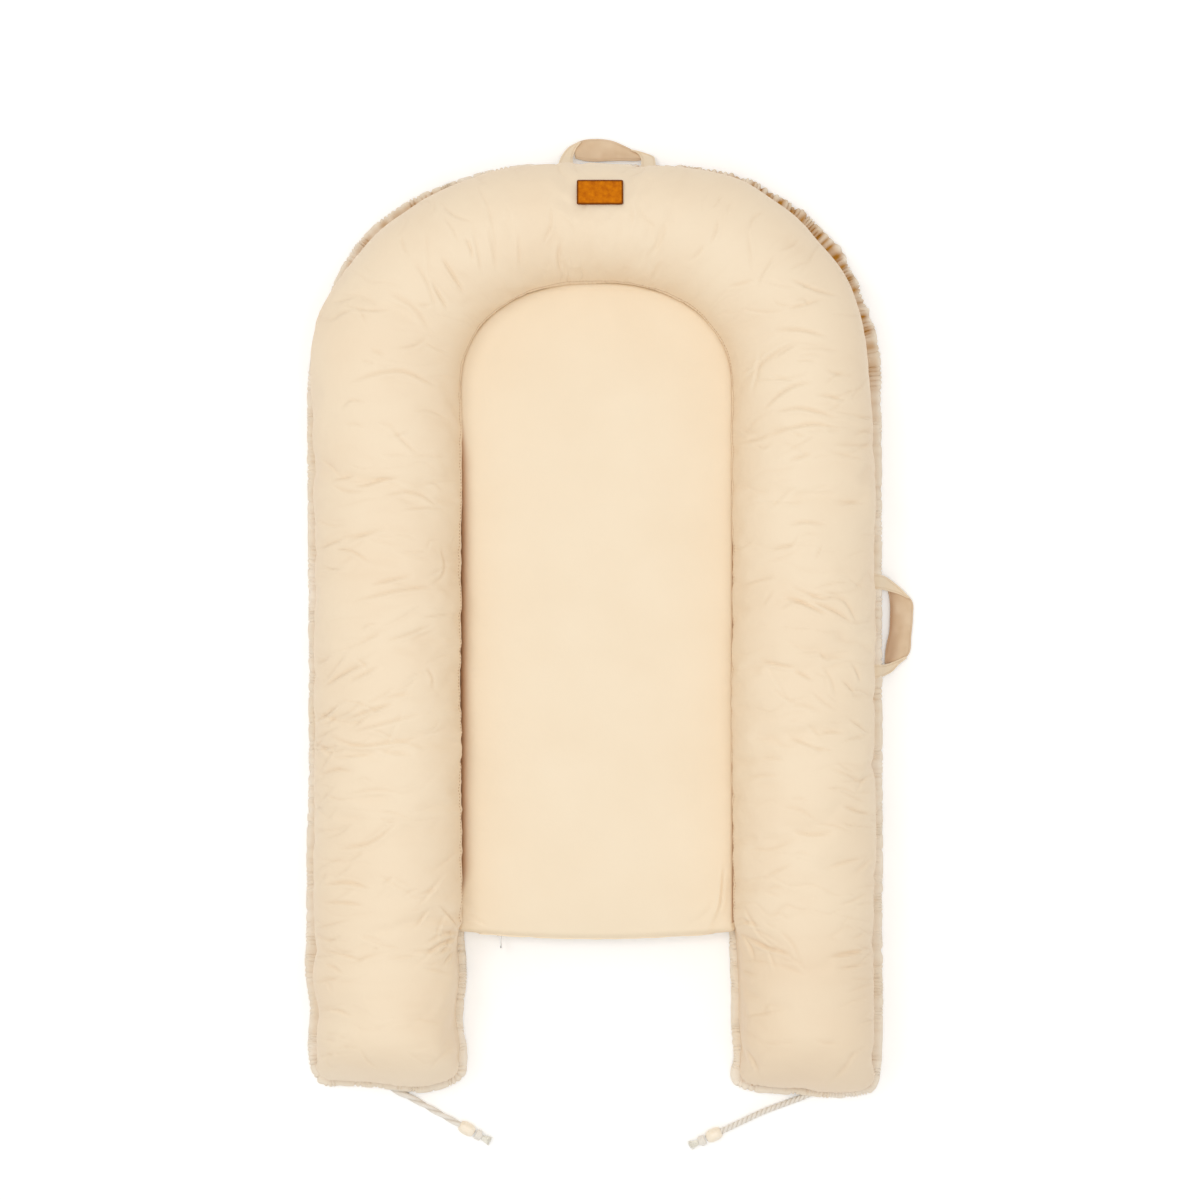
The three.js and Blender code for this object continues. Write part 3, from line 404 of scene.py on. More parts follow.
def cord_cotton(name, dark, light):
    """Pale cotton. The dips between fibres, 0.5 mm apart, are stripes that slant across the cord's own lengths, and
    the painted shade that a piece holds darkens the grooves between strands. A wave whose stripes are d mm apart
    has the scale STRIPE / d, where STRIPE is pi / 10."""
    material, tree, shader = new_finish(name, {"Roughness": 0.85, "Specular IOR Level": 0.25, "Sheen Weight": 0.25})
    place = add(tree, "UVMap", uv_map="cloth").outputs[0]
    slant = add(tree, "Mapping", {"Vector": place, "Rotation": (0, 0, 0.6)})
    fibre = add(tree, "TexWave", {"Vector": slant.outputs[0], "Scale": STRIPE / 0.5, "Distortion": 2.0, "Detail": 2.0})
    wear = add(tree, "TexNoise", {"Vector": place, "Scale": 0.35, "Detail": 3.0})
    tone = add(tree, "ValToRGB", {"Fac": wear.outputs["Fac"]})
    tone.color_ramp.elements[0].color = linear(dark)
    tone.color_ramp.elements[1].color = linear(light)
    relief = add(tree, "Bump", {"Height": fibre.outputs["Fac"], "Strength": 0.6, "Distance": 0.0002})
    # Painted shade: the grooves between strands are darkened towards a grey brown.
    tree.links.new(darkened(tree, tone.outputs["Color"], "#AE9778"), shader.inputs["Base Color"])
    tree.links.new(relief.outputs[0], shader.inputs["Normal"])
    return material


COTTON_CORD = cord_cotton("undyed_laid_cotton", "#EAE2D6", "#FAF6EE")
# The same cord cotton painted paler for the tufts, to offset the shade among their thin yarns: painted light.
PALER_CORD_COTTON = cord_cotton("cord_cotton_painted_light", "#FBF6E8", "#FFFDF4")

# %% Routes of the tails, as in the model
CORD_RADIUS = 3.0
LEFT_ROUTE = [
    (-205.5, -436, 7.6), (-203.2, -436, 7.6), (-198.6, -437.6, 7.4), (-192.5, -441, 7), (-184, -445.8, 6.6),
    (-172, -452.4, 6.4), (-150, -464.7, 6.4), (-124, -479.2, 6.4), (-116.8, -483.2, 6.4),
]
RIGHT_ROUTE = [
    (221.5, -436, 7.6), (219.2, -436, 7.6), (215.4, -437.4, 7.4), (211, -440.8, 7), (206, -444.6, 6.2),
    (199, -448.6, 5), (190, -452.2, 3.8), (180, -456, 3.4), (170, -459.6, 3.5), (160, -463.2, 4.4),
    (150, -467.4, 5.8), (141, -471.6, 6.4), (130.4, -476.6, 6.4), (112, -485.3, 6.4), (105, -488.6, 6.4),
]


# %% Laid cords
def rope_grid(line, radius, strands, lay, dip, columns=36, start=0.0):
    """Rings whose radius is R (1 - dip + dip |cos(n (a - 2 pi s / lay) / 2)|^0.7), for n strands and one turn a lay.

    The angle a is measured from start. The second result is painted shade, more the deeper a point lies in a groove.
    """
    length = run_lengths(line)[:, None]
    across = strands * (ring_angles(columns)[None] - start - 2 * np.pi * length / lay) / 2
    full = np.abs(np.cos(across)) ** 0.7
    right, up = beside(directions(line))
    return ring_grid(line, right, up, radius * (1 - dip + dip * full), columns), 0.5 * (1 - full) ** 1.5


left_line = smooth_route(LEFT_ROUTE, 0.5)
left_length = run_lengths(left_line)
spread = 1 + 0.36 * (1 - ease((left_length - 16) / 26))
# Each tail's second grid holds the painted shade of the grooves between its strands.
left_grid, left_groove_shade = rope_grid(
    left_line, CORD_RADIUS * spread[:, None], strands=2, lay=38, dip=0.42, start=0.2)
seat(put_tube("tail_left", left_grid, COTTON_CORD, left_groove_shade), "root", "cotton_cord", "cord_tail_left")

right_line = smooth_route(RIGHT_ROUTE, 0.5)
right_grid, right_groove_shade = rope_grid(right_line, CORD_RADIUS, strands=3, lay=15, dip=0.34)
seat(put_tube("tail_right", right_grid, COTTON_CORD, right_groove_shade), "root", "cotton_cord", "cord_tail_right")
print("tails:", round(left_length[-1], 1), "and", round(run_lengths(right_line)[-1], 1), "mm")

# %% [markdown]
# ## Beads
#
# A turned bead of pale wood slides on each tail: a barrel 14 mm long with six soft flats and a bored hole. A closed
# profile, out along the barrel and back through the bore, is carried round the cord's last stretch.

# %% Pale turned wood: fine grain along the bead and a thin satin lacquer
BEAD_WOOD, tree, shader = new_finish(
    "lacquered_lime_wood", {"Roughness": 0.42, "Coat Weight": 0.25, "Coat Roughness": 0.3})
place = add(tree, "TexCoord").outputs["Object"]
grain_place = add(tree, "Mapping", {"Vector": place, "Scale": (260, 900, 900), "Rotation": (0, 0, 0.5)})
grain = add(tree, "TexNoise", {"Vector": grain_place.outputs[0], "Scale": 1.0, "Detail": 4.0, "Roughness": 0.6})
tone = add(tree, "ValToRGB", {"Fac": grain.outputs["Fac"]})
tone.color_ramp.elements[0].color = linear("#F3E4CC")
tone.color_ramp.elements[0].position = 0.25
tone.color_ramp.elements[1].color = linear("#FCF5E8")
relief = add(tree, "Bump", {"Height": grain.outputs["Fac"], "Strength": 0.3, "Distance": 0.0001})
tree.links.new(tone.outputs["Color"], shader.inputs["Base Color"])
tree.links.new(relief.outputs[0], shader.inputs["Normal"])

# %% Turning a profile about a tail's last stretch
SEAT_GAP = 0.35
BEAD_LENGTH = 14.3
BEAD_RADIUS = 6.2
BORE_RADIUS = 3.5
BEAD_BACK = SEAT_GAP + 0.8 + BEAD_LENGTH


def tail_end(route):
    """The end of a route, and three directions there: ahead, level to the right, and up."""
    end, before = np.array(route[-1], float), np.array(route[-2], float)
    ahead = unit(end - before)
    return end, ahead, *beside(ahead)


def turned_grid(route, along, radius, columns, flats):
    """Rings about the tail's end: end + ahead x + r (right cos a + up sin a), with r less by flats sin^2(3 a)."""
    end, ahead, right, up = tail_end(route)
    angle = ring_angles(columns)
    radius = radius[:, None] * (1 - flats * np.sin(3 * angle) ** 2)
    return end + along[:, None, None] * ahead + radius[..., None] * turned(right, up, angle)


def put_bead(name, route, body):
    """A barrel: radius (1 - |2 t - 1|^3.2 / 3.4) of the full one at share t, rounded lips, and a straight bore."""
    share = np.linspace(0, 1, 33)
    barrel = BEAD_RADIUS * (1 - np.abs(2 * share - 1) ** 3.2 / 3.4)
    lip_share = np.linspace(0, np.pi, 9)[1:-1]
    lip = (barrel[-1] + BORE_RADIUS) / 2 + (barrel[-1] - BORE_RADIUS) / 2 * np.cos(lip_share)
    lip_along = 0.35 * np.sin(lip_share)
    along = np.concatenate([share * BEAD_LENGTH, BEAD_LENGTH + lip_along, [BEAD_LENGTH, 0], -lip_along, [0]])
    radius = np.concatenate([barrel, lip, [BORE_RADIUS, BORE_RADIUS], lip[::-1], barrel[:1]])
    grid = turned_grid(route, along - BEAD_BACK, radius, 60, flats=0.05)
    return seat(put_grid(name, grid, BEAD_WOOD, wrap=True), body, "bead_wood", name.replace("wood_", ""))


put_bead("wood_bead_left", LEFT_ROUTE, "left_bead")
put_bead("wood_bead_right", RIGHT_ROUTE, "right_bead")

# %% [markdown]
# ## End knots
#
# Past the bead, each tail ends in a wrapped knot and a frayed tuft. The knot is one cord wound two and a half times
# round the line with a last pass across it, and the tuft is a bundle of thin yarns that fan out and droop.


# %% Knots
def put_knot(name, route):
    """A helix of radius 3.3 mm about the tail's line, with a strand laid across it from back to front."""
    end, ahead, right, up = tail_end(route)
    turn = np.linspace(0, 2.4 * 2 * np.pi, 150)
    along = lerp(2.2, 6.6, np.linspace(0, 1, 150)) + 0.25 * np.sin(turn * 1.7)
    radius = 3.3 + 0.25 * np.sin(turn * 0.9)
    wound = end + along[:, None] * ahead + radius[:, None] * turned(right, up, turn)
    share = np.linspace(0, 1, 60)
    lean = lerp(-0.9, 0.9, share)
    reach = 3.7 * np.sin(np.pi * lerp(0.12, 0.88, share))
    over = end + lerp(1.4, 7.6, share)[:, None] * ahead + reach[:, None] * turned(up, right, lean)
    grids = [strand_grid(wound, 1.75, end, ahead), strand_grid(over, 1.5, end, ahead)]
    faces, uvs = zip(grid_faces(grids[0], True), grid_faces(grids[1], True, grids[0].size // 3))
    return put_mesh(name, np.vstack([grid.reshape(-1, 3) for grid in grids]), faces, uvs, COTTON_CORD)


def strand_grid(line, radius, end, ahead, columns=14):
    """A tube whose rings are square to its line. It narrows to nothing over its first and last 1.2 mm."""
    forward = directions(line)
    away = line - end - ((line - end) @ ahead)[:, None] * ahead
    side = unit(np.cross(forward, away))
    length = run_lengths(line)
    left = np.minimum(length, length[-1] - length)
    radius = radius * np.sqrt(np.clip(left / 1.2, 0.0004, 1))
    return ring_grid(line, side, np.cross(side, forward), radius[:, None], columns)


# %% Tufts
def put_tuft(name, route, seed, count=90):
    """Yarns from the knot's end. Each leaves at a random angle and share q, and at share t of its length it lies
    (2 + 2.5 t) sqrt(q) from the line, with a small curl, and droops by 1.6 t^2 mm."""
    end, ahead, right, up = tail_end(route)
    random = np.random.default_rng(seed)
    angle, share = random.uniform(0, 2 * np.pi, count), np.sqrt(random.uniform(0, 1, count))
    reach = random.uniform(7.6, 9.6, count)
    curl, phase = random.uniform(0.1, 0.5, count), random.uniform(0, 6, count)
    t = np.linspace(0, 1, 7)[None]
    away = (2 + 2.5 * t) * share[:, None]
    swing = angle[:, None] + curl[:, None] * np.sin(4 * t + phase[:, None])
    along = 8.2 + reach[:, None] * t
    line = end + along[..., None] * ahead + away[..., None] * turned(right, up, swing)
    line[..., 2] = np.maximum(line[..., 2] - 1.6 * t**2, 0.6)
    radius = 0.42 * (1 - 0.6 * t**3)
    grids = line[:, :, None] + radius[..., None, None] * turned(right, up, ring_angles(5))
    return put_copies(name, grids, PALER_CORD_COTTON, both_ends=False)


for side, route, seed in (("left", LEFT_ROUTE, 11), ("right", RIGHT_ROUTE, 12)):
    knot = seat(put_knot(f"knot_{side}", route), "root", "cotton_cord", f"end_knot_{side}")
    tuft = seat(put_tuft(f"tuft_{side}", route, seed), "root", "cotton_cord")
    line = left_line if side == "left" else right_line

# %% [markdown]
# ## The bolster's sections
#
# The U has two straight legs and an arch between them. A row of the grid is one section across it: a rounded shape,
# a little wider than it is high, that is fuller below on the outer side. Near a foot the section flattens like the
# end of a pillow. The same few sizes as in the model place every row.

# %% Sizes of the bolster
ARCH_Y = 226.5
END_Y = -434.8
TAPER = 70.0
PAD_FOOT_Y = -292.0
PAD_CORNER_Y = -285.0
TOP_Z = 120.0
WIDEST_Z = 62.0
LOW_Z = 0.2
HEM_TOP_Z = 14.2
HEM_Z = 7.6
FOOT_STRIP = 8.4
LEG_INNER = 127.4
LEG_OUTER = 261.0
OFFSET_LEFT = 1.6
CASING_WIDTH = 16.0
CASING_HEIGHT = 14.0

# %% Arches: half width, rise and power of each
INNER_ARCH = (LEG_INNER, 98.3, 2.2)
OUTER_ARCH = (LEG_OUTER, 209.8, 2.2)
CASING_ARCH = (276.0, 217.5, 2.4)


def arch_reach(turn, half, rise, power):
    """How far an arch reaches at an angle: (|cos / half|^p + |sin / rise|^p)^(-1 / p)."""
    return (np.abs(np.cos(turn) / half) ** power + np.abs(np.sin(turn) / rise) ** power) ** (-1 / power)


def arch_section(turn):
    """The middle and the half width of the bolster's section at an angle of the arch."""
    inner, outer = arch_reach(turn, *INNER_ARCH), arch_reach(turn, *OUTER_ARCH)
    return (inner + outer) / 2, (outer - inner) / 2


def arch_plan(turn, reach):
    """Points in plan at angles of the arch and reaches from its centre."""
    return np.stack([reach * np.cos(turn), ARCH_Y + reach * np.sin(turn)], 1)


def corner_inset(distance, radius):
    """How far a rounded corner draws the edge in: R - sqrt(R^2 - (R - d)^2) at distance d from the end."""
    left = np.clip(radius - distance, 0, radius)
    return radius - np.sqrt(radius**2 - left**2)


# %% Contours of the two feet in the photograph, from the outer side round to the pad
LEFT_FOOT = [
    (308.4, 640), (309, 710), (308.4, 790), (306.6, 860), (306, 940), (305, 970), (307.5, 992), (310, 1010),
    (308.5, 1030), (308, 1045), (309.5, 1063),
    (314, 1075), (320, 1083), (329, 1086), (340, 1085.6), (360, 1086.4), (380, 1088.2), (392.4, 1089.4),
    (405, 1091.4), (417.3, 1092.3), (429.8, 1091.5), (441, 1089), (450.5, 1085.7), (459, 1081.5), (465, 1075),
    (467, 1062), (467, 1048), (464.5, 1034), (463, 1020), (464.5, 1000), (467, 978), (466.5, 960), (465, 944),
    (464, 926),
]
RIGHT_FOOT = [
    (882.8, 860), (882.4, 940), (883, 1000), (881.6, 1060), (880.6, 1072), (878.5, 1083), (873.6, 1091),
    (862.4, 1095), (844.2, 1097.6), (830, 1097.6), (817.5, 1097.2), (802, 1094.6), (778.2, 1093.7), (765, 1092.8),
    (753, 1091.6), (740.3, 1088), (733, 1083.5), (730.4, 1077), (731, 1068), (733.3, 1058), (732, 1040),
    (731, 1020), (731, 992), (730, 964), (729, 944), (729.5, 926),
]


def foot_contour(pixels, side):
    """A foot's contour in mm at the casing's widest height, one point a millimetre, and the direction inwards."""
    pixels = np.array(pixels, float)
    plan = from_photo(np.column_stack([pixels, np.full(len(pixels), HEM_Z)]))[:, :2]
    line = smooth_route(plan, 1.0)
    ahead = directions(line)
    return line, np.stack([-ahead[:, 1], ahead[:, 0]], 1) * side


CONTOURS = {-1: foot_contour(LEFT_FOOT, 1), 1: foot_contour(RIGHT_FOOT, -1)}


def contour_reach(side, y, inner):
    """How far out from the middle line the contour of one foot lies at y, on its outer or its inner side."""
    line = CONTOURS[side][0]
    lowest = int(np.argmin(line[:, 1]))
    part = line[lowest:] if inner else line[: lowest + 1][::-1]
    return side * np.interp(y, part[:, 1], part[:, 0])


def foot_edge(x):
    """The y of the lower contour at x of the foot on x's side, read between its two corners."""
    edges = []
    for line, _ in CONTOURS.values():
        low = line[line[:, 1] < -425]
        low = low[np.argsort(low[:, 0])]
        edges.append(np.interp(x, low[:, 0], low[:, 1]))
    return np.where(x < 0, *edges)


# %% Where the real outline leaves the even arch: height in mm, middle and width as angles
COVER_SWELLS = [(5.0, 0.98, 0.26), (-5.5, 0.08, 0.2), (-3.0, 1.55, 0.35), (7.0, 3.0, 0.25)]
CASING_SWELLS = [(7.5, 0.98, 0.26), (-4.2, 0.3, 0.14), (-1.3, 0.0, 0.1), (2.5, 1.95, 0.14), (-6.2, 2.83, 0.22)]


def swell_at(turn, swells):
    """The sum of height exp(-((turn - middle) / width)^2) over some swells."""
    return sum(height * np.exp(-(((turn - middle) / width) ** 2)) for height, middle, width in swells)


# %% Rows from the right foot over the head to the left foot
def bolster_rows(step):
    """Each row's base point, outward direction, inner and outer reach, casing reach, height share and freedom.

    On a leg the height share is (1 - t^2.3)^0.7, where t goes from 0 to 1 over the last 70 mm, and the reaches
    follow the foot's contour, a strip inside it. Between y = -300 and -210 they go over to the even leg. Freedom is
    0 where the inner edge is sewn to the pad and 1 where it hangs to the hem. At the upper left the filling swells
    over the casing, and at the right it draws back.
    """
    taper_y = END_Y + TAPER * (1 - np.cos(np.linspace(0, np.pi / 2, 52)))
    leg_y = np.concatenate([taper_y, np.arange(END_Y + TAPER + step, ARCH_Y - step / 2, step)])
    turn = np.linspace(0, np.pi, int(np.pi * 205 / step))
    taper = np.clip((END_Y + TAPER - leg_y) / TAPER, 0, 1)
    loose = ease((PAD_CORNER_Y - leg_y) / 44 + 0.5)
    near_foot = ease((-330 - leg_y) / 60)
    at_foot = ease((-392 - leg_y) / 40)
    legs = []
    for side in (1, -1):
        low_y = np.maximum(leg_y - FOOT_STRIP * near_foot, -416)
        contour = contour_reach(side, low_y, False)
        straight = LEG_OUTER - OFFSET_LEFT * side
        depth = leg_y - END_Y
        outer = np.where(leg_y < -240, contour - lerp(15.6, FOOT_STRIP, at_foot), straight) - corner_inset(depth, 20)
        freed = contour_reach(side, low_y, True) + 6.6
        legs.append({
            "inner": LEG_INNER + loose * (freed - LEG_INNER) + corner_inset(depth, 13),
            "outer": lerp(outer, straight, ease((leg_y + 300) / 90)),
            "casing": contour - CASING_WIDTH - corner_inset(depth, 20),
            "height": (1 - taper**2.3) ** 0.7,
            "free": ease((PAD_CORNER_Y + 11 - leg_y) / 16),
        })
    arch = {
        "inner": arch_reach(turn, *INNER_ARCH),
        "outer": arch_reach(turn, *OUTER_ARCH) - OFFSET_LEFT * np.cos(turn),
        "casing": arch_reach(turn, *CASING_ARCH) - CASING_WIDTH + swell_at(turn, CASING_SWELLS),
        "height": np.ones_like(turn),
        "free": np.zeros_like(turn),
    }
    rows = {key: np.concatenate([legs[0][key], arch[key], legs[1][key][::-1]]) for key in arch}
    past_end = (leg_y - ARCH_Y) / 255
    rows["turn"] = np.concatenate([past_end, turn, np.pi - past_end[::-1]])
    rows["outer"] += swell_at(rows["turn"], COVER_SWELLS)
    level = np.zeros_like(leg_y)
    base_y = np.concatenate([leg_y, np.full(len(turn), ARCH_Y), leg_y[::-1]])
    rows["base"] = np.stack([np.zeros_like(base_y), base_y], 1)
    rows["out"] = np.stack([np.concatenate([level + 1, np.cos(turn), level - 1]),
                            np.concatenate([level, np.sin(turn), level])], 1)
    middle = rows["base"] + rows["out"] * ((rows["inner"] + rows["outer"]) / 2)[:, None]
    rows["along"] = run_lengths(middle)
    rows["outer"] += 0.9 * noise(rows["along"] / 24, 0, 9)
    left_wall = ease((rows["along"] - 1350) / 60) * (1 - rows["free"])
    rows["inner"] += left_wall * (0.7 * noise(rows["along"] / 6.5, 0, 10) - 0.8)
    return rows


# %% Points of a section
def section_angle(z):
    """The angle at which the lower inner quarter of a full section passes height z."""
    middle = LOW_Z + (TOP_Z - LOW_Z) * WIDEST_Z / TOP_Z
    return np.pi + np.arcsin(((middle - z) / (middle - LOW_Z)) ** 1.1)


def section_points(rows, angle):
    """Points of every row at angles a, where 0 faces out and 90 degrees up.

    Reach is the middle + half width * sgn(cos a) |cos a|^(2/p), and height is the widest height + rise *
    sgn(sin a) |sin a|^(2/p). The power p is 2.1 above, 2.2 in the lower inner quarter and 3.2 in the outer.
    """
    cos, sin = np.cos(angle)[None], np.sin(angle)[None]
    power = np.where(sin > 0, 2.1, np.where(cos < 0, 2.2, 3.2))
    share = rows["height"][:, None]
    low = lerp(13.6, LOW_Z, ease(share * 1.7))
    top = lerp(16.2, TOP_Z, share)
    middle = low + (top - low) * WIDEST_Z / TOP_Z
    inner, outer = rows["inner"][:, None], rows["outer"][:, None]
    reach = (inner + outer) / 2 + (outer - inner) / 2 * np.sign(cos) * np.abs(cos) ** (2 / power)
    rise = np.where(sin > 0, top - middle, middle - low)
    z = middle + rise * np.sign(sin) * np.abs(sin) ** (2 / power)
    flat = rows["base"][:, None] + rows["out"][:, None] * reach[..., None]
    return np.concatenate([flat, z[..., None]], 2)


def row_points(rows, reach, z):
    """One point of every row, at a reach in its own direction and a height."""
    plan = rows["base"] + rows["out"] * reach[:, None]
    return np.column_stack([plan, np.full(len(plan), z)])[:, None]


def even_angles(first, last, count):
    """Angles that part a full section into even steps of arc, by looking them up at even lengths."""
    fine = np.linspace(first, last, 1500)
    sample = {"height": np.ones(1), "inner": np.array([LEG_INNER]), "outer": np.array([LEG_OUTER]),
              "base": np.zeros((1, 2)), "out": np.array([[1.0, 0.0]])}
    length = run_lengths(section_points(sample, fine)[0])
    return np.interp(np.linspace(0, length[-1], count), length, fine)


# %% The patch that is sewn on the head: its middle and its sides
PATCH_X = 3.4
PATCH_Y = 399.6
PATCH_LONG = 42.5
PATCH_WIDE = 24.0

# %% [markdown]
# ## Folds in the bolster's cover
#
# Cotton sateen over soft filling has three kinds of relief: broad lumps where the fibre lies unevenly, short puckers
# beside every seam, and long shallow folds. The longer folds are drawn where the photograph shows them, as lines in
# its pixels with a depth and a width in millimetres. Each one is a groove with a low ridge beside it.

# %% Folds as lines in the photograph: depth and width in mm, then each point's pixel x and y
FOLDS = [
    (1.7, 3.0, 442, 258, 452, 274, 464, 292), (1.2, 3.0, 465, 238, 470, 247, 473, 259),
    (1.5, 3.2, 431, 280, 438, 293, 448, 309), (1.0, 4.0, 391, 293, 412, 306, 430, 328),
    (1.0, 3.0, 399, 348, 414, 346, 427, 339), (1.2, 3.2, 350, 383, 375, 374, 401, 371, 436, 385),
    (0.9, 3.0, 329, 320, 340, 314, 352, 311), (0.8, 3.6, 560, 241, 559, 262, 564, 285),
    (0.8, 3.4, 488, 224, 492, 244, 497, 272), (0.9, 3.4, 415, 262, 428, 284, 437, 310),
    (1.3, 3.0, 792, 280, 815, 290, 838, 296), (1.2, 3.0, 786, 309, 803, 305, 821, 300),
    (1.2, 3.0, 775, 330, 800, 330, 828, 337), (1.1, 3.4, 797, 341, 770, 356, 743, 380),
    (1.4, 3.2, 764, 408, 780, 394, 797, 385, 812, 382), (1.2, 2.8, 818, 395, 830, 396, 846, 401),
    (1.5, 3.0, 775, 411, 800, 408, 836, 417), (1.4, 3.2, 768, 434, 790, 428, 808, 424, 840, 428),
    (0.9, 3.0, 738, 443, 752, 440, 767, 434), (0.8, 3.0, 727, 287, 740, 284, 754, 280),
    (0.7, 3.4, 760, 352, 757, 372, 752, 392), (0.9, 3.0, 788, 460, 800, 457, 812, 453),
    (1.0, 2.8, 330, 481, 341, 479, 352, 476), (1.3, 2.8, 353, 488, 370, 484, 384, 480, 399, 477),
    (1.1, 3.2, 382, 498, 410, 491, 424, 495, 437, 506), (0.9, 3.0, 401, 511, 420, 508, 446, 510),
    (1.3, 3.0, 317, 549, 329, 544, 341, 539), (1.3, 2.6, 336, 550, 352, 552, 368, 561),
    (1.3, 2.6, 371, 585, 392, 580, 412, 575), (1.2, 2.8, 353, 602, 392, 592, 433, 586),
    (0.8, 3.0, 443, 548, 446, 566, 440, 579, 431, 584), (1.1, 2.6, 388, 641, 410, 634, 432, 625),
    (1.8, 3.0, 323, 686, 337, 677, 352, 669, 368, 663), (1.2, 2.8, 349, 681, 362, 675, 377, 667),
    (1.7, 2.8, 314, 722, 325, 714, 337, 704), (1.5, 2.8, 342, 720, 366, 711, 394, 703),
    (1.1, 3.0, 351, 731, 384, 722, 420, 713), (1.4, 3.0, 329, 735, 340, 740, 352, 744, 402, 740),
    (1.2, 2.8, 312, 743, 321, 747, 331, 755), (1.3, 2.8, 321, 775, 336, 770, 352, 772),
    (0.8, 3.0, 427, 668, 433, 677, 434, 688), (0.8, 3.2, 345, 795, 372, 790, 404, 793),
    (1.4, 3.2, 339, 850, 371, 842, 397, 822), (1.7, 3.0, 325, 885, 349, 883, 368, 888),
    (1.7, 3.0, 325, 903, 342, 903, 362, 905), (1.4, 2.8, 322, 951, 342, 954, 361, 960),
    (1.1, 2.8, 325, 964, 334, 967, 342, 973), (1.3, 2.6, 416, 927, 423, 919, 429, 910),
    (1.8, 2.6, 426, 955, 442, 944, 461, 936), (1.6, 2.6, 443, 965, 450, 956, 459, 945),
    (1.4, 2.6, 427, 943, 444, 935, 461, 931), (0.9, 2.8, 418, 893, 428, 891, 437, 887),
    (1.2, 2.8, 440, 905, 452, 917, 461, 931), (1.1, 3.2, 318, 1012, 332, 1010, 350, 1016),
    (1.3, 2.8, 844, 806, 857, 811, 872, 815), (0.9, 3.0, 792, 831, 812, 835, 833, 832),
    (1.2, 2.8, 736, 924, 748, 922, 760, 927), (1.9, 3.0, 738, 934, 765, 948, 790, 954),
    (1.3, 2.6, 735, 930, 744, 942, 752, 960), (1.5, 2.8, 836, 957, 852, 954, 869, 948),
    (1.2, 2.8, 838, 969, 853, 967, 869, 963), (1.6, 2.8, 745, 1048, 751, 1059, 759, 1071),
    (1.0, 3.0, 828, 868, 846, 863, 866, 857), (0.9, 3.0, 842, 905, 856, 900, 868, 893),
    (2.0, 3.0, 785, 598, 798, 601, 811, 607, 826, 614), (1.7, 2.8, 811, 601, 830, 609, 852, 621),
    (1.2, 3.2, 820, 596, 842, 600, 858, 623), (1.5, 2.6, 760, 661, 777, 664, 795, 668),
    (1.2, 2.6, 794, 670, 803, 675, 812, 680), (1.3, 2.8, 852, 665, 857, 672, 861, 682),
    (1.1, 2.8, 842, 681, 849, 687, 856, 695), (1.1, 2.8, 789, 525, 806, 523, 825, 525),
    (0.9, 2.8, 772, 549, 783, 547, 795, 544), (1.2, 2.8, 850, 719, 860, 725, 871, 733),
    (1.1, 2.8, 789, 737, 806, 745, 825, 753), (0.9, 2.8, 822, 733, 832, 732, 843, 733),
]


def as_lines(folds):
    """Folds with their points in pairs."""
    return [(depth, width, list(zip(points[::2], points[1::2]))) for depth, width, *points in folds]


def fold_relief(pixel_x, pixel_y, folds):
    """How far folds move the surface: the sum over folds of h f (0.55 exp(-((d - 1.8 w) / 1.4 w)^2)
    - exp(-(|d| / w)^1.4)), with d the signed distance to the line, f = sin(pi t)^0.6 along it, h = 1.45 depth^0.8
    and w = 0.55 width."""
    relief = np.zeros_like(pixel_x)
    for depth, width, line in folds:
        width, depth = 0.55 * width, 1.45 * depth**0.8
        line = smooth_route(line, 4.0)
        length = run_lengths(line)
        reach = length[-1] / 2 + 6 * width
        box = (np.abs(pixel_x - line[:, 0].mean()) < reach) & (np.abs(pixel_y - line[:, 1].mean()) < reach)
        x, y = pixel_x[box], pixel_y[box]
        best, side, where = np.full(x.shape, 1e9), np.zeros_like(x), np.zeros_like(x)
        for k in range(len(line) - 1):
            start, step = line[k], line[k + 1] - line[k]
            t = np.clip(((x - start[0]) * step[0] + (y - start[1]) * step[1]) / (step @ step), 0, 1)
            away_x, away_y = x - start[0] - t * step[0], y - start[1] - t * step[1]
            distance = np.hypot(away_x, away_y)
            closer = distance < best
            best = np.where(closer, distance, best)
            side = np.where(closer, distance * np.sign(step[0] * away_y - step[1] * away_x), side)
            where = np.where(closer, (length[k] + t * (length[k + 1] - length[k])) / length[-1], where)
        fade = np.sin(np.pi * np.clip(where, 0.02, 0.98)) ** 0.6
        groove = np.exp(-((best / width) ** 1.4))
        ridge = 0.55 * np.exp(-(((side - 1.8 * width) / (1.4 * width)) ** 2))
        relief[box] += depth * fade * (ridge - groove)
    return relief


# %% Short creases between them, more where the cloth is drawn together
def short_creases(seed, areas):
    """As many creases as each area asks for: a random place, a slant about the area's own, a length of 14 to 46
    pixels, a slight bow, a depth of 0.25 to 0.8 mm and a width of 1.8 to 3.4."""
    random = np.random.default_rng(seed)
    found = []
    for left, top, right, bottom, slant, count in areas:
        for _ in range(count):
            middle = random.uniform((left, top), (right, bottom))
            turn = np.radians(slant + random.normal(0, 22))
            half = random.uniform(7, 23) * np.array([np.cos(turn), -np.sin(turn)])
            bow = random.normal(0, 2.2) * np.array([np.sin(turn), np.cos(turn)])
            line = [tuple(middle - half), tuple(middle + bow), tuple(middle + half)]
            found.append((random.uniform(0.25, 0.8), random.uniform(1.8, 3.4), line))
    return found


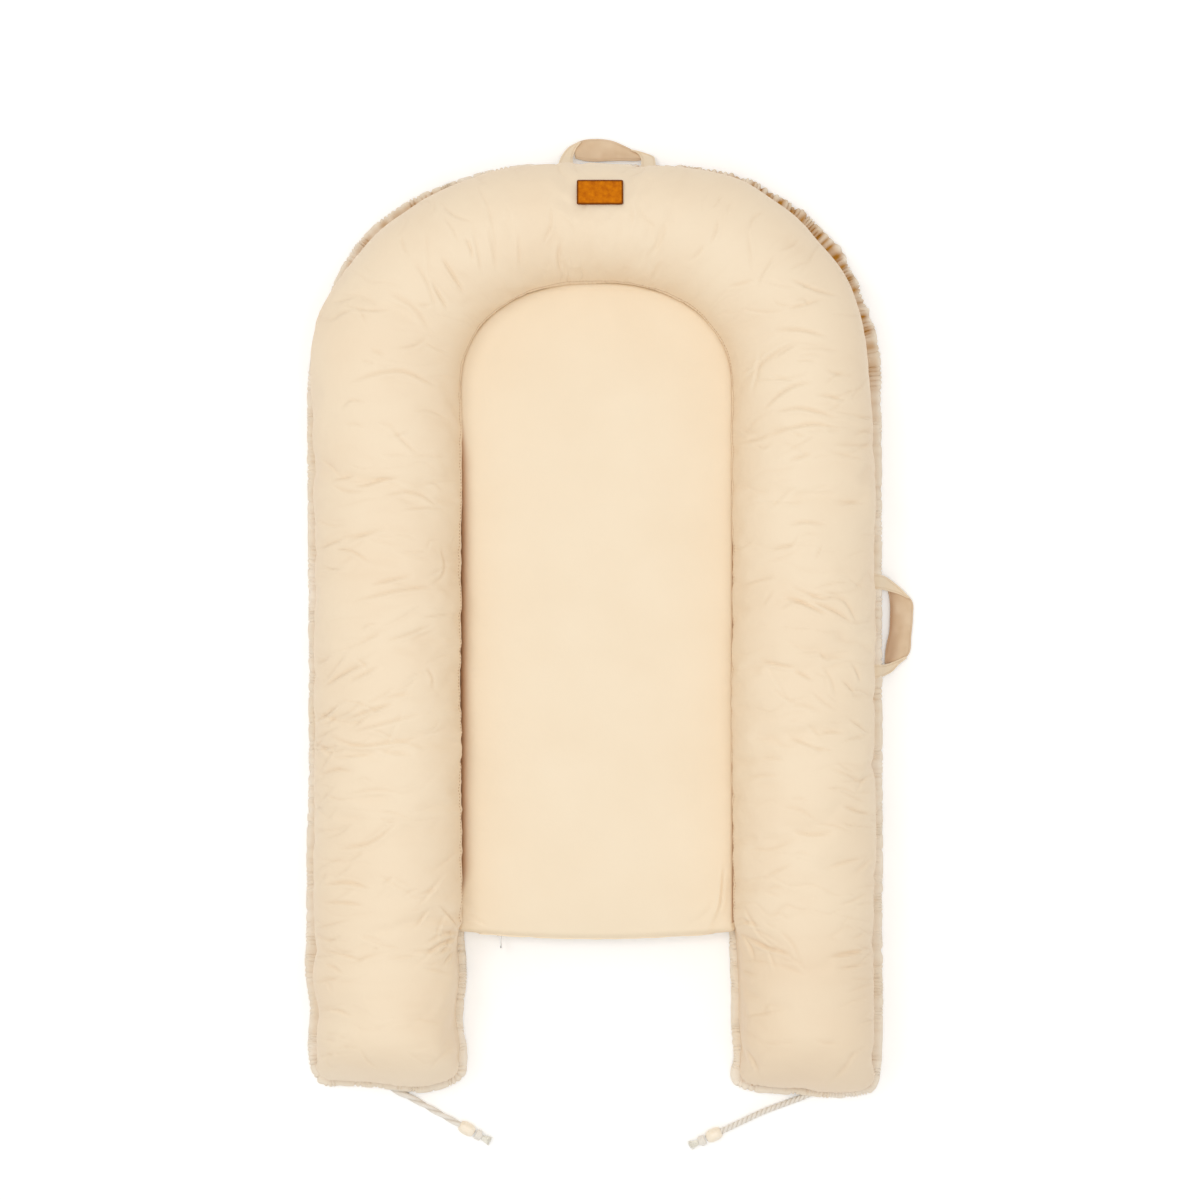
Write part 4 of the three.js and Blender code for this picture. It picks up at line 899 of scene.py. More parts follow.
# %% Areas of short creases in pixels: left, top, right, bottom, slant in degrees and count
CREASED = [
    (318, 620, 440, 800, 14, 34), (316, 640, 345, 900, 24, 22), (318, 800, 455, 960, 10, 22),
    (320, 440, 450, 620, 8, 18), (425, 880, 460, 990, 40, 12), (330, 290, 440, 440, -20, 14),
    (400, 190, 520, 290, -65, 14), (540, 190, 760, 270, 88, 12), (760, 240, 850, 330, 10, 10),
    (740, 330, 868, 460, 5, 30), (740, 460, 868, 600, 2, 18), (770, 590, 868, 740, -18, 22),
    (740, 740, 870, 960, 0, 26), (738, 915, 800, 970, -30, 12), (330, 1000, 455, 1070, -8, 8),
    (745, 1000, 870, 1070, 12, 8), (312, 900, 335, 1060, 10, 12), (858, 780, 873, 1060, 10, 14),
]
ALL_FOLDS = as_lines(FOLDS) + short_creases(31, CREASED)

# %% The grid of the cover before its relief
ROW_STEP = 1.35
SEWN_HEIGHTS = np.array([32.0, 35.0, 38.5, 42.0])
ARC_FROM_Z = 46.0
ARC_TO = -np.radians(38.0)
BRIM_Z = 10.5
rows = bolster_rows(ROW_STEP)
ARC = even_angles(section_angle(ARC_FROM_Z), ARC_TO, 160)


def cover_grid(rows):
    """The cover from the pad's seam over the top to the casing: inner edge, arc of the section, and brim.

    Where it is sewn, the inner edge follows the section down to 32 mm, and where it is free it hangs straight to the
    hem. The brim is a parabola from the section's low outer point to the casing: (1-t)^2 P + 2 t (1-t) C + t^2 B.
    Near a foot all points move along Y, so that the end follows the foot's lower contour.
    """
    arc = section_points(rows, ARC)
    full = {**rows, "height": np.ones_like(rows["height"])}
    sewn = section_points(full, section_angle(SEWN_HEIGHTS))
    drop = np.linspace(0, 1, 5)[None, :4, None]
    hanging = lerp(row_points(rows, rows["inner"] + 0.4, HEM_TOP_Z - 1), arc[:, :1], drop)
    inner = lerp(sewn, hanging, rows["free"][:, None, None])
    start, end = arc[:, -1:], row_points(rows, rows["casing"] + 1.2, BRIM_Z)
    bend = np.concatenate([lerp(start, end, 0.25)[..., :2], np.minimum(start[..., 2:], 11.0)], 2)
    t = np.linspace(0, 1, 7)[None, 1:, None]
    brim = (1 - t) ** 2 * start + 2 * t * (1 - t) * bend + t**2 * end
    cover = np.concatenate([inner, arc, brim], 1)
    cover[..., 1] += ease((-385 - cover[..., 1]) / 45) * (foot_edge(cover[..., 0]) + FOOT_STRIP - END_Y)
    return cover


def grid_normals(grid):
    """Directions square to a grid's surface: the cross product of its slopes along rows and columns."""
    along, across = np.gradient(grid, axis=0), np.gradient(grid, axis=1)
    normal = unit(np.cross(across, along))
    return normal * np.sign(normal[..., 2].mean())


plain_cover = cover_grid(rows)
print("cover grid:", plain_cover.shape)


# %% Relief of the cover
def past_patch(points, half_long, half_wide):
    """How far points lie outside a rectangle of these half sizes round the patch's place."""
    past_x = np.maximum(np.abs(points[..., 0] - PATCH_X) - half_long, 0)
    return np.hypot(past_x, np.maximum(np.abs(points[..., 1] - PATCH_Y) - half_wide, 0))


def cover_relief(grid, rows):
    """Lumps, long folds, random cross wrinkles and seam puckers, in mm along the surface's own direction, and the
    share of painted shade at each point.

    A cross wrinkle lies where stretched noise n passes zero: -exp(-(n / 0.07)^2), or 0.14 for the finer ones. A
    pucker beside a seam is |sin| of the length along it and fades over some 14 mm. At the feet's ends the puckers
    are deeper and fade over 4.5 mm. Shade is painted into folds, wrinkles, the pad's seam and the feet's puckers,
    as an uneven brown line along the feet's seams low down, and over the right leg towards its foot.
    """
    along = rows["along"][:, None]
    across = run_lengths(grid[len(grid) // 2])[None]
    width = across[0, -1]
    pixel_x, pixel_y = to_photo(grid)
    facing = ease((grid_normals(grid)[..., 2] - 0.05) / 0.35)
    lumps = 1.3 * noise(along / 75, across / 62, 1) + 0.8 * noise(along / 34, across / 38, 2)
    drift = 0.6 * noise(along / 40, across / 30, 3) + 0.25 * noise(along / 17, across / 15, 13)
    patchy = ease(0.15 + noise(along / 60, across / 48, 5) * 1.5)
    crossing = noise(along / 17 + drift, across / 90, 4)
    wrinkles = -0.55 * patchy * np.exp(-((crossing / 0.07) ** 2))
    finer = noise(along / 8 + 1.5 * drift, across / 50, 14)
    patchy_too = ease(noise(along / 45, across / 36, 15) * 1.8)
    wrinkles += -0.32 * patchy_too * np.exp(-((finer / 0.14) ** 2)) + 0.22 * noise(along / 7, across / 30, 6)
    beat = along / 7.5 + 1.2 * noise(along / 22, across / 25, 7)
    puckers = -0.8 * (1 - np.abs(np.sin(np.pi * beat))) * (0.5 + 0.5 * noise(along / 31, 0, 8))
    inner_seam = np.exp(-np.maximum(across - 14, 0) / 13) * ease(across / 6)
    outer_seam = np.exp(-np.maximum(width - across - 10, 0) / 16) * ease((width - across) / 5)
    folds = fold_relief(pixel_x, pixel_y, ALL_FOLDS) * facing
    held = ease(across / 12) * ease((width - across) / 12)
    wrinkles = wrinkles * ease((past_patch(grid, 23, 14) - 1) / 9)
    relief = held * (lumps + wrinkles + folds) + puckers * (inner_seam + outer_seam)
    end = ease(rows["height"][:, None] / 0.5)
    x, y, z = np.moveaxis(grid, -1, 0)
    from_end = np.maximum(y - foot_edge(x) - FOOT_STRIP, 0)
    foot_beat = x / 5.2 + 1.6 * noise(x / 15, 0, 16)
    depth = 2.2 * (0.55 + 0.45 * noise(x / 21, 0, 17))
    foot = -depth * (1 - np.abs(np.sin(np.pi * foot_beat))) * np.exp(-from_end / 4.5)
    # Painted shade in folds and wrinkles, by the pad's seam, in the feet's puckers and along their seams low down, and
    # over the right leg towards its foot.
    sewn = (0.45 + 0.45 * noise(x / 8, 0, 18)) * np.exp(-((from_end / 1.7) ** 2))
    painted_dark = 0.1 * np.clip(-(folds + wrinkles) / 1.2, 0, 1) + 0.1 * np.exp(-across / 14)
    painted_dark = painted_dark + ease((36 - z) / 18) * (0.9 * np.clip(-foot / 1.6, 0, 1) + sewn)
    painted_dark = painted_dark + 0.07 * ease(x / 60) * ease((-250 - y) / 60)
    return relief * lerp(0.35, 1.0, end) + foot, painted_dark


relief, cover_painted_shade = cover_relief(plain_cover, rows)
relieved_cover = plain_cover + grid_normals(plain_cover) * relief[..., None]
print("relief from", relief.min().round(1), "to", relief.max().round(1), "mm")


# %% [markdown]
# ## Filling the cover
#
# A sewn cover is cut a little too large for its filling, and buckles between its seams when it is stuffed. Blender's
# cloth finds those buckles: a coarse copy of the grid, held at its seams and under the patch, gets 3% too much cloth
# and is pressed out from inside. Only the buckles are taken over, since the broad shape comes from the photograph.


# %% Cloth simulation on a coarse copy
def picks(count, step):
    """Every step-th number below count, with the last one."""
    return np.unique(np.append(np.arange(0, count, step), count - 1))


def stretched(values, at, count, axis):
    """Values known at some rows or columns, worked out for all of them on straight lines between."""
    values = np.moveaxis(values, axis, 0)
    k = np.clip(np.searchsorted(at, np.arange(count), side="right") - 1, 0, len(at) - 2)
    share = ((np.arange(count) - at[k]) / (at[k + 1] - at[k])).reshape(-1, 1, 1)
    return np.moveaxis(values[k] * (1 - share) + values[k + 1] * share, 0, axis)


def blurred(values, times, axis):
    """Values averaged with their neighbours, as (a + 2 b + c) / 4, so many times along one axis."""
    values = np.moveaxis(values, axis, 0).copy()
    for _ in range(times):
        values[1:-1] = (values[:-2] + 2 * values[1:-1] + values[2:]) / 4
    return np.moveaxis(values, 0, axis)


def buckles(grid, step, extra, pressure, frames, cap):
    """How far a filled cloth moves from the grid: cloth simulation of every step-th row and column, less its broad
    part, bent to at most cap mm by cap tanh(d / cap)."""
    at = [picks(grid.shape[k], step) for k in (0, 1)]
    coarse = grid[np.ix_(at[0], at[1])]
    piece = put_grid("cover_trial", coarse, SATEEN)
    count = coarse.shape[1]
    r, c = np.divmod(np.arange(coarse.shape[0] * count), count)
    place = coarse.reshape(-1, 3)
    sewn = (c < 3) | (c > count - 3) | (r < 1) | (r > coarse.shape[0] - 2)
    held = piece.vertex_groups.new(name="sewn")
    held.add(np.flatnonzero(sewn | (past_patch(place, 24, 15) == 0)).tolist(), 1.0, "REPLACE")
    cloth = piece.modifiers.new("cloth", "CLOTH")
    settings = {
        "vertex_group_mass": "sewn", "quality": 5, "mass": 0.2, "air_damping": 4, "tension_stiffness": 12,
        "compression_stiffness": 12, "shear_stiffness": 6, "bending_stiffness": 0.02, "shrink_min": -extra,
        "shrink_max": -extra, "use_pressure": True, "uniform_pressure_force": pressure,
    }
    for key, value in settings.items():
        setattr(cloth.settings, key, value)
    cloth.settings.effector_weights.gravity = 0
    cloth.point_cache.frame_end = frames
    scene = bpy.context.scene
    for frame_number in range(1, frames + 1):
        scene.frame_set(frame_number)
    shape = piece.evaluated_get(bpy.context.evaluated_depsgraph_get()).to_mesh()
    moved = np.empty(len(place) * 3, np.float32)
    shape.vertices.foreach_get("co", moved)
    scene.frame_set(1)
    bpy.data.objects.remove(piece)
    move = moved.reshape(coarse.shape) / MM - coarse
    broad = blurred(blurred(move, 60, 0), 30, 1)
    print("cloth moved by up to", np.abs(move).max().round(1), "mm, of which broad", np.abs(broad).max().round(1))
    move = move - broad
    size = np.linalg.norm(move, axis=2, keepdims=True) + 1e-6
    move = move / size * cap * np.tanh(size / cap)
    fine = stretched(stretched(move, at[0], grid.shape[0], 0), at[1], grid.shape[1], 1)
    return blurred(blurred(fine, 2 * step, 0), 2 * step, 1)


# %% [markdown]
# ## Cotton sateen
#
# Sateen is a smooth cotton weave whose long floats lie side by side and give a low, soft sheen. Its threads are a
# quarter of a millimetre apart, which this picture can't show, so the weave is drawn at 0.7 mm with little relief.
# Towards the outline the nap catches light and the cream turns paler, which is what the sheen lobe is for.


# %% Woven cloth
def woven(name, light, dark, painted_dark, thread, depth, roughness, sheen, uneven=0.0, cloud=0.014):
    """Cloth on a piece's own lengths (mm): two crossed waves one thread apart, and soft unevenness of the yarn.

    thread is in mm, and depth and uneven, the reliefs, in metres. cloud is how fast its tone changes. The painted
    shade that a piece holds at each point mixes in the third, darker colour: shade painted into folds and seams.
    """
    material, tree, shader = new_finish(name, {
        "Roughness": roughness, "Specular IOR Level": 0.3, "Sheen Weight": sheen, "Sheen Roughness": 0.45,
        "Sheen Tint": linear("#F2DFD0")})
    place = add(tree, "UVMap", uv_map="cloth").outputs[0]
    stripe = {"Vector": place, "Scale": STRIPE / thread, "Distortion": 0.8, "Detail": 1.0}
    warp = add(tree, "TexWave", stripe, bands_direction="X")
    weft = add(tree, "TexWave", stripe, bands_direction="Y")
    weave = add(tree, "Math", {0: warp.outputs["Fac"], 1: weft.outputs["Fac"]}, operation="MULTIPLY")
    slub = add(tree, "TexNoise", {"Vector": place, "Scale": 0.09, "Detail": 4.0, "Roughness": 0.55})
    clouds = add(tree, "TexNoise", {"Vector": place, "Scale": cloud, "Detail": 2.0})
    tone = add(tree, "ValToRGB", {"Fac": clouds.outputs["Fac"]})
    for element, colour, position in zip(tone.color_ramp.elements, (dark, light), (0.3, 0.7)):
        element.color = linear(colour)
        element.position = position
    broad = add(tree, "Bump", {"Height": slub.outputs["Fac"], "Strength": 1.0, "Distance": uneven})
    fine = add(tree, "Bump", {"Height": weave.outputs[0], "Strength": 0.5, "Distance": depth,
                              "Normal": broad.outputs[0]})
    tree.links.new(darkened(tree, tone.outputs["Color"], painted_dark), shader.inputs["Base Color"])
    tree.links.new(fine.outputs[0], shader.inputs["Normal"])
    return material


# Its third colour is the shade painted into the bolster's folds and seams.
SATEEN = woven(
    "cotton_sateen", "#F2E0C5", "#F0DCC0", "#C2925E",
    thread=0.7, depth=0.00008, roughness=0.6, sheen=0.2, uneven=0.0004)

# %% The bolster
cover = relieved_cover + buckles(relieved_cover, step=4, extra=0.03, pressure=4.0, frames=20, cap=3.5)
bolster = put_grid("bolster_cover", cover, SATEEN)
# The cover's painted shade, kept for its finish.
mark_painted_shade(bolster, cover_painted_shade)
seat(bolster, "root", "cream_sateen", "cover_top_panel", "bolster_insert")

# %% [markdown]
# ## The gathered casing
#
# Round the base runs a channel of thinner cotton, drawn up on its cord into hundreds of small pleats. It is a tube
# carried along the outline, whose radius dips sharply at each pleat. The pleats' spacing, depth and lean vary, and
# on the right of the head the fullness stands out in larger scallops.

# %% Gathered cotton: plain weave, matt, paler and a little greyer than the sateen
# Its third colour is the shade painted into pleats, under the bolster's overhang and along the feet's seams.
GATHERED = woven(
    "gathered_plain_cotton", "#F6ECDD", "#EDDFC9", "#B07716",
    thread=0.6, depth=0.0001, roughness=0.8, sheen=0.2, uneven=0.0003)

# %% The line that the casing follows
EXIT_LEFT = -206.0
EXIT_RIGHT = 222.0


def parts_of_foot(side, exit_x):
    """A foot's contour up to the cord's exit, and from the exit to the pad, with the inward directions. The first
    goes on for a millimetre, so that the two overlap as the sewn ones do."""
    line, inwards = CONTOURS[side]
    low = np.flatnonzero(line[:, 1] < -425)
    split = low[np.argmin(np.abs(line[low, 0] - exit_x))]
    return (line[: split + 2], inwards[: split + 2]), (line[split:], inwards[split:])


def casing_line():
    """The casing's middle line in plan, from the left exit round the left foot, the head and the right foot."""
    turn = np.linspace(np.pi, 0, 400)
    reach = arch_reach(turn, *CASING_ARCH) - CASING_WIDTH / 2 - 1.8 * np.cos(turn) + swell_at(turn, CASING_SWELLS)
    left, left_in = parts_of_foot(-1, EXIT_LEFT)[0]
    right, right_in = parts_of_foot(1, EXIT_RIGHT)[0]
    half = CASING_WIDTH / 2
    return np.vstack([(left + half * left_in)[::-1], arch_plan(turn, reach), right + half * right_in])


# %% Pleated tubes
def pleated_grid(line, half_width, half_height, pitch, depth, seed, scallop=0.0, columns=26):
    """Rings round an even plan line whose reach is less at each pleat.

    With length s and angle a, the pleat's beat b grows by 1 / pitch a millimetre and drifts, and the radius is
    1 - depth g (1 - |sin pi b|^0.75), where g is how tightly it is gathered there. scallop swells the outer side in
    lobes |sin(pi s / 14)|, uneven and about 14 mm apart. cos a and sin a are raised to the power 0.72, which makes the
    section squarer, as a stuffed channel is. The second result is painted shade, more the deeper a point lies in a
    pleat and between the scallops.
    """
    length = run_lengths(line)[:, None]
    line = np.concatenate([line, np.full((len(line), 1), HEM_Z)], 1)
    right, _ = beside(directions(line))
    angle = ring_angles(columns)[None]
    lean = 0.6 * noise(length / 24, 0.5, seed) * np.sin(angle + 0.6)
    beat = np.cumsum(np.gradient(length, axis=0) / pitch, axis=0)
    beat = beat + 2.3 * noise(length / 17, 0.0, seed + 1) + lean
    tight = ease(0.5 + 1.2 * noise(length / 6, angle * 0.7, seed + 2))
    pleat = depth * tight * (1 - np.abs(np.sin(np.pi * beat)) ** 0.75)
    lobe = np.abs(np.sin(np.pi * (length / 14 + 1.5 * noise(length / 26, 0.0, seed + 3))))
    outwards = ease(0.35 - np.cos(angle))
    full_out = 0.4 * (lobe - 0.6) + 0.7 * noise(length / 8, 0.5, seed + 5)
    radius = 1 - pleat + 0.05 * noise(length / 6, angle, seed + 4) + scallop * full_out * outwards
    full = np.abs([np.cos(angle), np.sin(angle)]) ** 0.72 * np.sign([np.cos(angle), np.sin(angle)])
    width, height = half_width * radius * full[0], half_height * radius * full[1]
    grid = line[:, None] + width[..., None] * right[:, None] + height[..., None] * np.array([0, 0, 1.0])
    grid[..., 2] = np.maximum(grid[..., 2], 0.1)
    # Painted shade in deep pleats and between the scallops.
    return grid, 1.9 * np.maximum(pleat - 0.1, 0) + 1.6 * scallop * (1 - lobe)


casing_path = even_line(casing_line(), 0.64)
casing_turn = np.arctan2(casing_path[:, 1:] - ARCH_Y, casing_path[:, :1])
# The first two places are where the head's casing is gathered fuller, the last two where shade under the bolster's
# overhang is painted on it.
places = ((0.75, 0.55), (2.2, 0.4), (0.42, 0.42), (2.42, 0.36))
right_head, left_head, right_overhang_shade, left_overhang_shade = (swell_at(casing_turn, [(1.0, *place)]) for place in places)
at_foot = ease((-405 - casing_path[:, 1:]) / 20)
gather = 0.19 + 0.21 * right_head + 0.19 * left_head + 0.13 * at_foot
pitch = lerp(4.4, 3.0, at_foot)
scallop = 0.05 + 0.4 * right_head
casing_grid, casing_pleat_shade = pleated_grid(
    casing_path, CASING_WIDTH / 2, CASING_HEIGHT / 2, pitch, gather, 20, scallop=scallop)
# Painted shade on the casing: a little on all but its outer side, more under the bolster's overhang at the head, and a
# line along each foot's seam, stronger on the right.
around = np.cos(ring_angles(casing_grid.shape[1]))[None]
uneven = 0.85 + 0.4 * noise(run_lengths(casing_path)[:, None] / 7, around, 29)
shade = (0.1 * (1 - at_foot) + 0.5 * right_overhang_shade + 0.5 * left_overhang_shade) * ease((around + 0.85) / 0.95) * uneven
foot_seam_shade = np.where(casing_path[:, :1] > 0, 0.38, 0.22) * at_foot
shade = shade + foot_seam_shade * ease((around + 0.22) / 0.3) * uneven
casing = put_tube("gathered_casing", casing_grid, GATHERED, casing_pleat_shade * lerp(1.0, 0.3, at_foot) + shade)
seat(casing, "root", "gathered_cotton", "drawcord_casing_outer", "drawcord_in_casing")

# %% [markdown]
# ## Hems of the free legs
#
# From each exit the casing goes on as a hem round the inner corner of the foot and up the leg to the pad. It holds
# no cord past the exit, so it is slimmer, and its gathers are finer and softer.


# %% Inner hems
def put_hem(name, side, exit_x, seed, node):
    """A pleated tube 16 by 14 mm at the foot that narrows to 12 by 12.4 mm past the corner, with shade painted at its
    seam.
    """
    line, inwards = parts_of_foot(side, exit_x)[1]
    share = ease((run_lengths(line)[:, None] - (abs(exit_x) - 145)) / 22)
    middle = line + lerp(CASING_WIDTH / 2, 6.0, share) * inwards
    at, there = np.linspace(0, 1, int(len(middle) / 0.6)), np.linspace(0, 1, len(middle))
    middle = np.stack([np.interp(at, there, middle[:, k]) for k in (0, 1)], 1)
    share = np.interp(at, there, share[:, 0])[:, None]
    sizes = lerp(CASING_WIDTH / 2, 6.0, share), lerp(CASING_HEIGHT / 2, 6.2, share)
    grid, folds = pleated_grid(middle, *sizes, 3.2, 0.28, seed, scallop=0.05)
    # Painted shade in the pleats and, browner, along the seam side, stronger on the right foot.
    towards_leg = side * np.cos(ring_angles(grid.shape[1]))[None]
    uneven = 0.7 + 0.6 * noise(run_lengths(middle)[:, None] / 6, towards_leg, seed + 6)
    seam_shade = (0.38 if side > 0 else 0.15) * (1 - share) * ease((towards_leg + 0.22) / 0.3) * uneven
    return seat(put_tube(name, grid, GATHERED, 0.45 * folds + seam_shade), "root", "gathered_cotton", node)


put_hem("foot_hem_left", -1, EXIT_LEFT, 40, "hem_inner_left")
put_hem("foot_hem_right", 1, EXIT_RIGHT, 50, "hem_inner_right")

# %% [markdown]
# ## The pad
#
# The pad is a sheet of foam in a sewn cover: nearly flat, a little crowned, with a rounded edge that tucks under
# the bolster all round the arch. At the foot the cover turns down over the front and is closed by the zip. The grid
# has one row at each distance from the foot; each row is as wide as the seam lets it be there.

# %% Outline and heights of the pad
PAD_HALF = 131.65
PAD_SEAM_Z = 36.3
PAD_FACE_Z = 35.4
PAD_CROWN = 7.2


def pad_reach(turn):
    """How far the pad reaches under the arch: the section's point at the seam's height, less the clearance."""
    middle, half = arch_section(turn)
    return middle - half * np.abs(np.cos(section_angle(PAD_SEAM_Z))) ** (2 / 2.2) - SEAT_GAP


def pad_foot(x):
    """The foot's edge: a bow of 7 mm in the middle, and a corner of 5 mm radius at each side."""
    bow = 7 * (1 - np.clip(np.abs(x) / PAD_HALF, 0, 1) ** 2)
    return PAD_CORNER_Y - 1.5 + corner_inset(PAD_HALF - np.abs(x), 5) - bow


# %% Folds in the pad's cover, drawn in pixels as those of the bolster
PAD_FOLDS = [
    (0.9, 2.6, 463, 905, 471, 908, 481, 913), (0.8, 2.6, 463, 917, 473, 919, 486, 925),
    (0.4, 2.4, 464, 627, 474, 626, 488, 629), (0.4, 2.4, 464, 668, 476, 669, 490, 668),
    (0.4, 2.6, 464, 742, 476, 740, 492, 743), (1.5, 2.6, 724, 868, 723, 884, 720, 908, 712, 926),
    (0.7, 3.4, 716, 900, 704, 914, 690, 924), (0.5, 2.6, 464, 829, 474, 830, 488, 834),
]


# %% The crowned face
def pad_grid():
    """Rows from the cover's skirt at the foot to the head.

    The height is 35.4 + 7.2 (1 - q^3.2) (1 - (1 - d / 70)^3) - 5 (1 - e / 6)^2.2, where q is the share of the way to
    the side seam, d the distance from the foot and e the distance from the nearest edge. Round the head and up the
    right it rises to the bolster over some 26 mm, so that no gap shows, along the left it sinks beside the seam, and
    its right foot corner is turned down. The second result is painted shade: a strip beside the seam where the
    bolster's overhang shades the pad.
    """
    turn = np.linspace(0, np.pi / 2, 90)[1:-1]
    reach = pad_reach(turn)
    depth = np.concatenate([np.linspace(0, 12, 13), np.arange(14, ARCH_Y - PAD_FOOT_Y, 3.0)])
    level = np.concatenate([PAD_FOOT_Y + depth, ARCH_Y + reach * np.sin(turn)])
    half = np.concatenate([np.full(len(depth), PAD_HALF), reach * np.cos(turn)])
    t = np.linspace(-1, 1, 121)
    x = half[:, None] * (0.35 * t + 0.65 * np.sin(np.pi * t / 2))
    lift = (pad_foot(x) - PAD_FOOT_Y) * (1 - ease((level[:, None] - PAD_FOOT_Y) / 80))
    y = level[:, None] + lift
    over = np.maximum(y - ARCH_Y, 0)
    turn_there = np.arctan2(over, np.abs(x) + 1e-9)
    share = np.clip(np.hypot(x, over) / pad_reach(turn_there), 0, 1)
    from_seam = (1 - share) * PAD_HALF
    from_foot = y - pad_foot(x)
    crown = (1 - share**3.2) * (1 - (1 - np.clip(from_foot / 70, 0, 1)) ** 3)
    edge = np.minimum(from_seam, from_foot)
    z = PAD_FACE_Z + PAD_CROWN * crown - 5 * (1 - np.clip(edge / 6, 0, 1)) ** 2.2
    face = np.stack([x, y, z], 2)
    along = y + 300
    at_head = ease((y - 60) / 120)
    thin_gap = at_head + ease(x / 40) * (1 - at_head) * 0.7
    face[..., 2] += 9 * thin_gap * np.exp(-(from_seam / 26) ** 1.5)
    sunk = ease(-x / 60) * (1 - ease((y - 150) / 60)) * ease((y + 262) / 40)
    face[..., 2] -= 9 * sunk * np.exp(-from_seam / 3.5)
    soft = 0.5 * noise(along / 55, x / 50, 60) + 0.25 * noise(along / 24, x / 30, 61)
    pucker = -0.45 * (1 - np.abs(np.sin(np.pi * (along / 11 + noise(along / 30, 0, 62))))) * np.exp(-from_seam / 12)
    pixel_x, pixel_y = to_photo(face)
    corner = 1.6 * ease((pixel_x - np.interp(pixel_y, [868, 908, 930], [724, 719, 707])) / 9)
    corner = corner * ease((pixel_y - 868) / 22)
    face[..., 2] += soft * ease(edge / 14) + pucker + fold_relief(pixel_x, pixel_y, as_lines(PAD_FOLDS)) - corner
    lip = face[:1]
    low = np.interp(np.abs(lip[..., 0]), [0, 110, 117, PAD_HALF], [29.8, 29.8, 1.6, 1.6])
    q = np.linspace(0, 1, 10)[:-1, None]
    skirt_z = lerp(low, lip[..., 2], q)
    swell = 1.1 * np.sin(np.pi * q) + 0.35 * noise(lip[..., 0] / 9, q * 2, 63)
    skirt = np.stack([np.broadcast_to(lip[..., 0], skirt_z.shape), lip[..., 1] - swell, skirt_z], 2)
    # Painted shade of the bolster's overhang on a strip beside the seam, wider and stronger where the pad sinks on the
    # left.
    under = lerp(3.1, 1.2, ease(np.sin(turn_there))) + sunk
    past = np.maximum(from_seam - under, 0) / (0.7 + 5.0 * sunk)
    join = (0.65 + 0.1 * sunk) * np.exp(-(past**1.6)) * (from_foot > 8)
    return np.concatenate([skirt, face], 0), np.concatenate([np.zeros(skirt.shape[:2]), join], 0)


# Its third colour is the painted shade beside the seam.
PAD_SATEEN = woven(
    "pad_sateen", "#F4E4CA", "#F2E1C6", "#A8631E",
    thread=0.7, depth=0.00008, roughness=0.62, sheen=0.2, uneven=0.0003)
pad_shape, pad_seam_shade = pad_grid()
pad = put_grid("pad_cover_dressed", pad_shape, PAD_SATEEN)
mark_painted_shade(pad, pad_seam_shade)
seat(pad, "root", "cream_sateen", "pad_cover")

# %% [markdown]
# ## Foam in the pad
#
# Behind the zip and under the edges the foam's lining can be glimpsed. It is a plain upright wall that follows the
# pad's outline 2 mm inside it, closed above and below.

# %% The foam's wall
LINING = woven(
    "cotton_lining", "#F0ECE2", "#EAE5D8", "#D8CDB8",
    thread=0.6, depth=0.00008, roughness=0.85, sheen=0.1, uneven=0.0002)


def pad_core_grid(inset):
    """Rings of the pad's outline, drawn in by inset and rounded above; past the zip they stand 0.4 as high."""
    turn = np.linspace(0, np.pi, 120)
    head = arch_plan(turn, pad_reach(turn) - inset)
    x = np.linspace(-PAD_HALF + inset, PAD_HALF - inset, 80)
    foot = np.stack([x, np.maximum(pad_foot(x), PAD_CORNER_Y) + inset + 2], 1)
    line = even_line(np.vstack([head, foot, head[:1]]), 4.0)[:-1]
    middle = line.mean(0)
    tall = lerp(1.0, 0.4, ease((line[:, 1] - pad_foot(line[:, 0]) - 10) / 25))
    rings = [(0.0, 1.5), (0.0, 27.0), (0.012, 31.5), (0.05, 33.0)]
    return np.stack([np.column_stack([line + (middle - line) * draw, z * tall]) for draw, z in rings])


core = seat(put_tube("pad_core", pad_core_grid(2.0), LINING), "root", "pad_foam", "pad_foam")

# %% [markdown]
# ## The base panel
#
# The underside is one flat cotton panel under the legs and the pad, sewn to the casing. It is drawn as its outline,
# filled above and below, because flat is what it is: it lies on the floor.

# %% Base outline and panel
BASE_COTTON = woven(
    "base_plain_cotton", "#ECE0CA", "#E6D8C0", "#C6A882",
    thread=0.8, depth=0.0001, roughness=0.85, sheen=0.1, uneven=0.0003)
BASE_END_Y = -427.6
BASE_INNER = 136.4


def arc_line(centre, radius, first, last, count):
    """Points of an arc: centre + radius (cos a, sin a) for angles from first to last."""
    angle = np.linspace(first, last, count)
    return np.stack([centre[0] + radius * np.cos(angle), centre[1] + radius * np.sin(angle)], 1)


def base_outline():
    """The panel's edge in plan: half of it from the head to the pad's foot, and its mirror image."""
    turn = np.linspace(np.pi / 2, 0, 60)
    arch = arch_plan(turn, arch_reach(turn, *CASING_ARCH) - CASING_WIDTH - 0.4)
    outer = arc_line((238, BASE_END_Y + 21.6), 21.6, 0, -np.pi / 2, 14)
    inner = arc_line((BASE_INNER + 9, BASE_END_Y + 9), 9, -np.pi / 2, -np.pi, 8)
    half = np.vstack([arch, outer, inner, [(BASE_INNER, PAD_FOOT_Y + 1.4), (PAD_HALF - 12, PAD_CORNER_Y - 0.8)]])
    return np.vstack([half, half[:0:-1] * np.array([-1.0, 1.0])])


